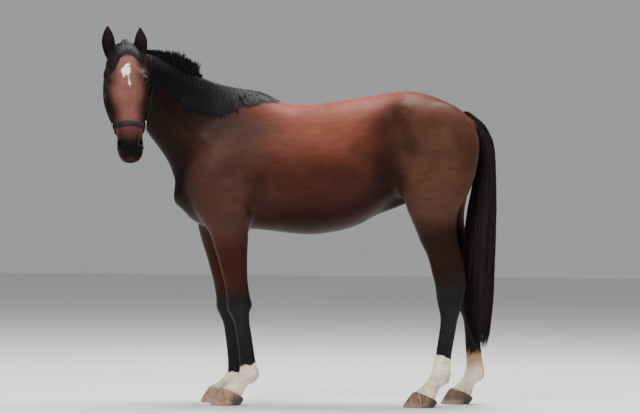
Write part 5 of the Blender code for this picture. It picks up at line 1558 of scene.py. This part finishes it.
def outwards(centres, directions, most):
    # where rays from within the head leave it, at most so far out
    made = []
    for centre, direction in zip(centres, directions):
        hit = skinRays.ray_cast(Vector(centre), Vector(direction), most)[0]
        made.append(hit if hit is not None else centre + direction * most)
    return np.array(made)


def makeHalter():
    # the noseband round the nose, a strap and a ring on each cheek, and the crownpiece over the poll
    down, left, front = headTurn
    angles = np.linspace(0, 2 * np.pi, 97)[:-1]
    out = left * np.cos(angles)[:, None] + front * np.sin(angles)[:, None]
    reach, lifts = halter["reach"], halter["lift"]
    nose = outwards(atHead(halter["noseband"] + 0 * angles, 0, halter["noseAxis"]), out, reach["nose"])
    nose = smoothLine(nose, 6, True) + out * lifts["nose"]
    straps, rings = [(strapPiece("nose_strap", nose, out, halter["noseWidth"], True), ["noseband"])], []
    line = curveThrough(halter["cheek"], 8)
    for side, sign in (("left", 1), ("right", -1)):
        facing = np.broadcast_to(left * sign, (len(line), 3))
        spots = smoothLine(outwards(atHead(line[:, 0], 0, line[:, 1]), facing, reach["cheek"]), 10)
        path = spots + facing * lifts["cheek"]
        strap = strapPiece(f"side_strap_{side}", path, facing, halter["cheekWidth"])
        over, aside = halter["ringPlace"]
        middle = spots[0] - down * over + facing[0] * aside
        ring = ringPiece(f"cheek_ring_{side}", middle, left * sign, down)
        straps.append((strap, [f"cheek_strap_{side}"]))
        rings.append((ring, [f"halter_ring_{side}"]))
    along, axis, first, last = halter["crown"]
    angles = np.radians(np.linspace(first, last, 60))
    out = left * np.cos(angles)[:, None] - down * np.sin(angles)[:, None]
    crown = smoothLine(outwards(atHead(along + 0 * angles, 0, axis), out, reach["crown"]), 12)
    crown = crown + out * lifts["crown"]
    straps.append((strapPiece("crown_strap", crown, out, halter["cheekWidth"]), ["crownpiece"]))
    return straps, rings


straps, rings = makeHalter()
report("halter")


# materials: shared effects are node groups, and the shaders stay in each material

class Tree:
    # short names for making and linking nodes
    def __init__(self, tree):
        self.tree = tree

    def node(self, kind, inputs=None, **settings):
        # a node with its settings, and its sockets linked or set to a constant
        made = self.tree.nodes.new(kind)
        for name, value in settings.items():
            setattr(made, name, value)
        for key, value in (inputs or {}).items():
            if isinstance(value, (int, float, tuple)):
                made.inputs[key].default_value = value
            else:
                self.link(value, made.inputs[key])
        return made.outputs

    def link(self, source, target):
        self.tree.links.new(source, target)

    def math(self, operation, a, b=0.0, c=0.0):
        return self.node("ShaderNodeMath", {0: a, 1: b, 2: c}, operation=operation)[0]

    def times(self, a, b):
        return self.math("MULTIPLY", a, b)

    def plus(self, a, b):
        return self.math("ADD", a, b)

    def centred(self, value, amount, middle=1.0):
        # a value from 0 to 1 turned into one that strays from the middle by half the amount
        return self.math("MULTIPLY_ADD", self.math("SUBTRACT", value, 0.5), amount, middle)

    def mix(self, share, a, b):
        return self.node("ShaderNodeMix", {0: share, 6: a, 7: b}, data_type="RGBA")[2]

    def scaled(self, colour, factor):
        return self.node("ShaderNodeVectorMath", {0: colour, "Scale": factor}, operation="SCALE")[0]

    def noise(self, place, scale, detail=3.0, roughness=0.5):
        inputs = {"Vector": place, "Scale": scale, "Detail": detail, "Roughness": roughness}
        return self.node("ShaderNodeTexNoise", inputs)["Fac"]

    def grain(self, place, scales, detail, roughness, turn=0.0):
        # noise stretched along the axes, turned about the cross axis by degrees
        inputs = {"Vector": place, "Scale": scales, "Rotation": (0.0, float(np.radians(turn)), 0.0)}
        return self.noise(self.node("ShaderNodeMapping", inputs)["Vector"], 1.0, detail, roughness)

    def bump(self, height, strength, distance):
        inputs = {"Height": height, "Strength": strength, "Distance": distance}
        return self.node("ShaderNodeBump", inputs)["Normal"]

    def ramp(self, value, low, high):
        inputs = {"Value": value, "From Min": low, "From Max": high}
        return self.node("ShaderNodeMapRange", inputs, interpolation_type="SMOOTHSTEP")["Result"]

    def place(self):
        return self.node("ShaderNodeTexCoord")["Object"]

    def attribute(self, name):
        return self.node("ShaderNodeAttribute", attribute_name=name)


def newGroup(name, inputs, outputs):
    group = bpy.data.node_groups.new(name, "ShaderNodeTree")
    for way, sockets in (("INPUT", inputs), ("OUTPUT", outputs)):
        for label, kind in sockets.items():
            group.interface.new_socket(label, in_out=way, socket_type="NodeSocket" + kind)
    tree = Tree(group)
    return group, tree, tree.node("NodeGroupInput"), group.nodes.new("NodeGroupOutput").inputs


def newMaterial(name, constants):
    material = bpy.data.materials.new(name)
    material.use_nodes = True
    shader = material.node_tree.nodes["Principled BSDF"].inputs
    for socket, value in constants.items():
        shader[socket].default_value = value
    return material, Tree(material.node_tree), shader


coatLook = {
    "roughness": 0.48, "hairBump": 0.30, "skinHeight": 0.0010, "tuftHeight": 0.0003,
    "mottle": 0.90, "grain": 0.5, "streaks": 0.55, "edgeNoise": 0.7,
    "white": (*toneOf("white"), 1.0), "stain": (0.56, 0.42, 0.31, 1.0),
    "shader": {"Specular IOR Level": 0.07, "Coat Weight": 0.01, "Coat Roughness": 0.36},
}


def coatGroup():
    # colour with its white edges and fine hair grain, how rough, and the height of the grain
    inputs = {"Colour": "Color", "White": "Float", "Marks": "Color"}
    outputs = {"Colour": "Color", "Height": "Float", "Roughness": "Float"}
    group, tree, source, result = newGroup("coat grain", inputs, outputs)
    place = tree.place()
    marks = tree.node("ShaderNodeSeparateColor", {"Color": source["Marks"]})
    bare, steep = marks["Red"], tree.ramp(marks["Green"], 0.55, 0.85)
    flatHair = tree.grain(place, (60.0, 420.0, 420.0), 3.0, 0.6, 20)
    uprightHair = tree.grain(place, (420.0, 420.0, 60.0), 3.0, 0.6)
    hair = tree.plus(tree.times(flatHair, tree.math("SUBTRACT", 1.0, steep)), tree.times(uprightHair, steep))
    streaks = tree.grain(place, (14.0, 40.0, 40.0), 3.0, 0.6, 20)
    edge = tree.plus(source["White"], tree.centred(streaks, coatLook["edgeNoise"], 0.0))
    white = tree.ramp(edge, 0.36, 0.62)
    shade = tree.centred(tree.grain(place, (5.0, 7.0, 9.0), 4.0, 0.55), coatLook["mottle"])
    shade = tree.times(shade, tree.centred(hair, coatLook["grain"]))
    shade = tree.times(shade, tree.centred(streaks, coatLook["streaks"]))
    stained = tree.ramp(tree.noise(place, 16.0, 4.0, 0.6), 0.46, 0.74)
    pale = tree.mix(stained, coatLook["white"], coatLook["stain"])
    tree.link(tree.scaled(tree.mix(white, source["Colour"], pale), shade), result["Colour"])
    pores = tree.times(tree.noise(place, 260.0, 2.0), bare)
    hairy = tree.times(hair, tree.math("SUBTRACT", 1.0, bare))
    tree.link(tree.plus(hairy, tree.times(pores, 0.5)), result["Height"])
    rough = tree.math("MULTIPLY_ADD", bare, -0.08, coatLook["roughness"])
    tree.link(tree.math("MULTIPLY_ADD", white, 0.20, rough), result["Roughness"])
    return group


coatGrain = coatGroup()


def coatMaterial(name, height):
    material, tree, shader = newMaterial(name, coatLook["shader"])
    colour, marks = tree.attribute("coatColour"), tree.attribute("coatMarks")
    inputs = {"Colour": colour["Color"], "White": colour["Alpha"], "Marks": marks["Color"]}
    grain = tree.node("ShaderNodeGroup", inputs, node_tree=coatGrain)
    tree.link(grain["Colour"], shader["Base Color"])
    tree.link(grain["Roughness"], shader["Roughness"])
    tree.link(tree.bump(grain["Height"], coatLook["hairBump"], height), shader["Normal"])
    return material


hairLook = {"grain": (900.0, 900.0, 40.0), "shader": {"Roughness": 0.46, "Specular IOR Level": 0.13}}


def hairMaterial():
    material, tree, shader = newMaterial("long hair", hairLook["shader"])
    grain = tree.grain(tree.place(), hairLook["grain"], 2.0, 0.6)
    colour = tree.attribute("coatColour")["Color"]
    tree.link(tree.scaled(colour, tree.math("MULTIPLY_ADD", grain, 1.0, 0.5)), shader["Base Color"])
    tree.link(tree.bump(grain, 0.3, 0.0006), shader["Normal"])
    return material


hoofLook = {"light": (0.400, 0.235, 0.145, 1.0), "dark": (0.120, 0.062, 0.038, 1.0),
            "worn": (0.50, 0.36, 0.28, 1.0), "heel": (0.030, 0.021, 0.017, 1.0),
            "stain": (0.085, 0.058, 0.042, 1.0)}


def hoofMaterial(name, darkness):
    # light horn with darker stripes and stains, worn at the ground and dark at the heel
    material, tree, shader = newMaterial(name, {})
    place = tree.place()
    marks = tree.node("ShaderNodeSeparateColor", {"Color": tree.attribute("hoofMarks")["Color"]})
    back, height = marks["Red"], marks["Green"]
    rings = tree.grain(place, (6.0, 6.0, 190.0), 2.0, 0.5)
    stripes = tree.grain(place, (95.0, 95.0, 5.0), 3.0, 0.6)
    stains = tree.noise(place, 26.0, 4.0, 0.6)
    low = tree.ramp(tree.centred(stains, 0.5, height), 0.40, 0.10)
    striped = tree.ramp(tree.plus(stripes, darkness), 0.45, 0.75)
    colour = tree.mix(striped, hoofLook["light"], hoofLook["dark"])
    colour = tree.mix(tree.times(tree.ramp(stains, 0.45, 0.7), 0.45), colour, hoofLook["stain"])
    colour = tree.mix(tree.times(low, 0.45), colour, hoofLook["worn"])
    uneven = tree.times(tree.math("SUBTRACT", stains, height), 0.35)
    heel = tree.ramp(tree.plus(back, uneven), 0.62, 0.92)
    tree.link(tree.mix(tree.times(heel, 0.85), colour, hoofLook["heel"]), shader["Base Color"])
    tree.link(tree.math("MULTIPLY_ADD", stains, 0.25, 0.42), shader["Roughness"])
    relief = tree.plus(tree.times(rings, 0.7), tree.times(stripes, 0.3))
    tree.link(tree.bump(relief, 0.45, 0.0018), shader["Normal"])
    return material


eyeLook = {
    "iris": (0.010, 0.005, 0.003, 1.0), "rays": (0.026, 0.011, 0.006, 1.0),
    "pupil": (0.002, 0.002, 0.004, 1.0), "white": (0.05, 0.028, 0.02, 1.0),
    "pupilWide": 0.40, "pupilTall": 0.15,
    "shader": {"Roughness": 0.12, "Specular IOR Level": 0.15, "Coat Weight": 0.35, "Coat Roughness": 0.03,
               "Coat IOR": 1.34},
}


def eyeMaterial():
    # a dark iris with a level slit of a pupil, under a wet surface
    material, tree, shader = newMaterial("eye", eyeLook["shader"])
    axes = tree.attribute("eyeAxes")["Vector"]
    parts = tree.node("ShaderNodeSeparateXYZ", {0: axes})

    def distance(a, b):
        return tree.math("SQRT", tree.plus(tree.math("POWER", a, 2.0), tree.math("POWER", b, 2.0)))

    slit = distance(tree.math("DIVIDE", parts["X"], eyeLook["pupilWide"]),
                    tree.math("DIVIDE", parts["Y"], eyeLook["pupilTall"]))
    iris = tree.mix(tree.grain(axes, (9.0, 9.0, 1.0), 4.0, 0.7), eyeLook["iris"], eyeLook["rays"])
    colour = tree.mix(tree.ramp(slit, 1.12, 0.88), iris, eyeLook["pupil"])
    rim = tree.ramp(distance(parts["X"], parts["Y"]), 0.66, 0.74)
    tree.link(tree.mix(rim, colour, eyeLook["white"]), shader["Base Color"])
    return material


leatherLook = {"dark": (0.006, 0.0055, 0.006, 1.0), "worn": (0.016, 0.012, 0.010, 1.0),
               "grain": 420.0, "wear": 38.0, "shader": {"Specular IOR Level": 0.22}}


def leatherMaterial():
    material, tree, shader = newMaterial("halter leather", leatherLook["shader"])
    place = tree.place()
    wear = tree.noise(place, leatherLook["wear"], 3.0, 0.6)
    colour = tree.mix(tree.ramp(wear, 0.42, 0.72), leatherLook["dark"], leatherLook["worn"])
    tree.link(colour, shader["Base Color"])
    tree.link(tree.math("MULTIPLY_ADD", wear, 0.25, 0.42), shader["Roughness"])
    tree.link(tree.bump(tree.noise(place, leatherLook["grain"], 3.0, 0.6), 0.30, 0.0006), shader["Normal"])
    return material


metalLook = {"dull": (0.24, 0.23, 0.21, 1.0), "bright": (0.40, 0.38, 0.35, 1.0), "wear": 120.0,
             "shader": {"Metallic": 1.0}}


def metalMaterial():
    material, tree, shader = newMaterial("halter metal", metalLook["shader"])
    wear = tree.noise(tree.place(), metalLook["wear"], 3.0, 0.6)
    tree.link(tree.mix(wear, metalLook["dull"], metalLook["bright"]), shader["Base Color"])
    tree.link(tree.math("MULTIPLY_ADD", wear, 0.30, 0.22), shader["Roughness"])
    return material


# what each piece is made of, takes its finish from and stands for

limbs = ("fore_left", "fore_right", "hind_left", "hind_right")
flesh = ["trunk", "neck", "head", "ear_left", "ear_right"]
flesh += [f"{part}_{limb}" for part in ("upper", "lower") for limb in limbs]
coatSkin = coatMaterial("coat", coatLook["skinHeight"])
coatTuft = coatMaterial("coat tufts", coatLook["tuftHeight"])
longHair, wetEye, leather, metal = hairMaterial(), eyeMaterial(), leatherMaterial(), metalMaterial()
paleHorn = hoofMaterial("hoof horn", 0.00)
brownHorn, darkHorn = hoofMaterial("brown hoof horn", 0.16), hoofMaterial("dark hoof horn", 0.30)
setPoints(skin.data, settled(pointsOf(skin.data)))
rows = [(skin, coatSkin, "coat", flesh)]
rows += [(piece, longHair, "hair", nodes) for piece, nodes in (
    (maneHair, ["mane"]), (crestHair, []), (forelockHair, ["forelock"]), (upperTail, ["tail_top"]),
    (lowerTail, ["tail_end"]), (coreOfTail, []), (lashes, []))]
rows += [(piece, coatTuft, "dark_coat" if name == "coat_legs" else "coat", [])
         for name, piece in coatTufts.items()]
rows += [(piece, wetEye, "eye", [piece.name.replace("ball_", "")]) for piece in eyePieces]
rows += [(piece, leather, "leather", nodes) for piece, nodes in straps]
rows += [(piece, metal, "metal", nodes) for piece, nodes in rings]
for leg, piece in hoofPieces.items():
    horn = {"hindLeft": brownHorn, "hindRight": darkHorn}.get(leg, paleHorn)
    rows.append((piece, horn, "hoof", [piece.name.replace("horn_", "hoof_")]))
for piece, material, slotName, nodes in rows:
    piece.data.materials.clear()
    piece.data.materials.append(material)
    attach(piece, "root")


# floor, world, lights and camera

studio = {"floor": (0.80, 0.79, 0.78, 1.0), "floorSize": 40.0, "floorRoughness": 0.75,
          "world": (0.86, 0.88, 0.90, 1.0), "worldStrength": 0.42,
          "camera": (0.1010, -11.9101, 0.8496), "tilt": (90.0, -0.55, 0.0),
          "lens": 132.975, "shift": 0.046875}
lamps = [  # name, place, what it points at, size, power
    ("key", (-3.5, -6.0, 7.5), (0, 0, 1.0), 4.0, 640.0), ("top", (1.0, 1.5, 8.0), (0, 0, 1.0), 5.0, 1150.0),
    ("fill", (5.5, -7.0, 3.0), (0, 0, 1.0), 5.0, 110.0),
]


def placed(name, data, place, turn):
    made = bpy.data.objects.new(name, data)
    made.location, made.rotation_euler = place, turn
    bpy.context.scene.collection.objects.link(made)
    return made


def makeFloor():
    line = np.linspace(-studio["floorSize"], studio["floorSize"], 9)
    x, y = np.meshgrid(line, line, indexing="ij")
    floor = pieceFrom("floor", np.stack([x, y, 0 * x], -1).reshape(-1, 3), gridFaces(9, 9, False))
    constants = {"Base Color": studio["floor"], "Roughness": studio["floorRoughness"]}
    floor.data.materials.append(newMaterial("floor", constants)[0])


def makeLights():
    for name, place, target, size, power in lamps:
        data = bpy.data.lights.new(name, "AREA")
        data.shape, data.size, data.energy = "DISK", size, power
        placed(name, data, place, (Vector(target) - Vector(place)).to_track_quat("-Z", "Y").to_euler())
    world = bpy.data.worlds.new("studio")
    world.use_nodes = True
    background = world.node_tree.nodes["Background"].inputs
    background["Color"].default_value = studio["world"]
    background["Strength"].default_value = studio["worldStrength"]
    bpy.context.scene.world = world


def makeCamera():
    data = bpy.data.cameras.new("camera")
    data.lens, data.sensor_width, data.shift_y = studio["lens"], 36.0, studio["shift"]
    data.clip_end = 200.0
    bpy.context.scene.camera = placed("camera", data, studio["camera"], tuple(np.radians(studio["tilt"])))


makeFloor()
makeLights()
makeCamera()
for piece, material, slotName, nodes in rows:
    if nodes:
        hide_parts(*nodes)
report("materials, floor, lights and camera")
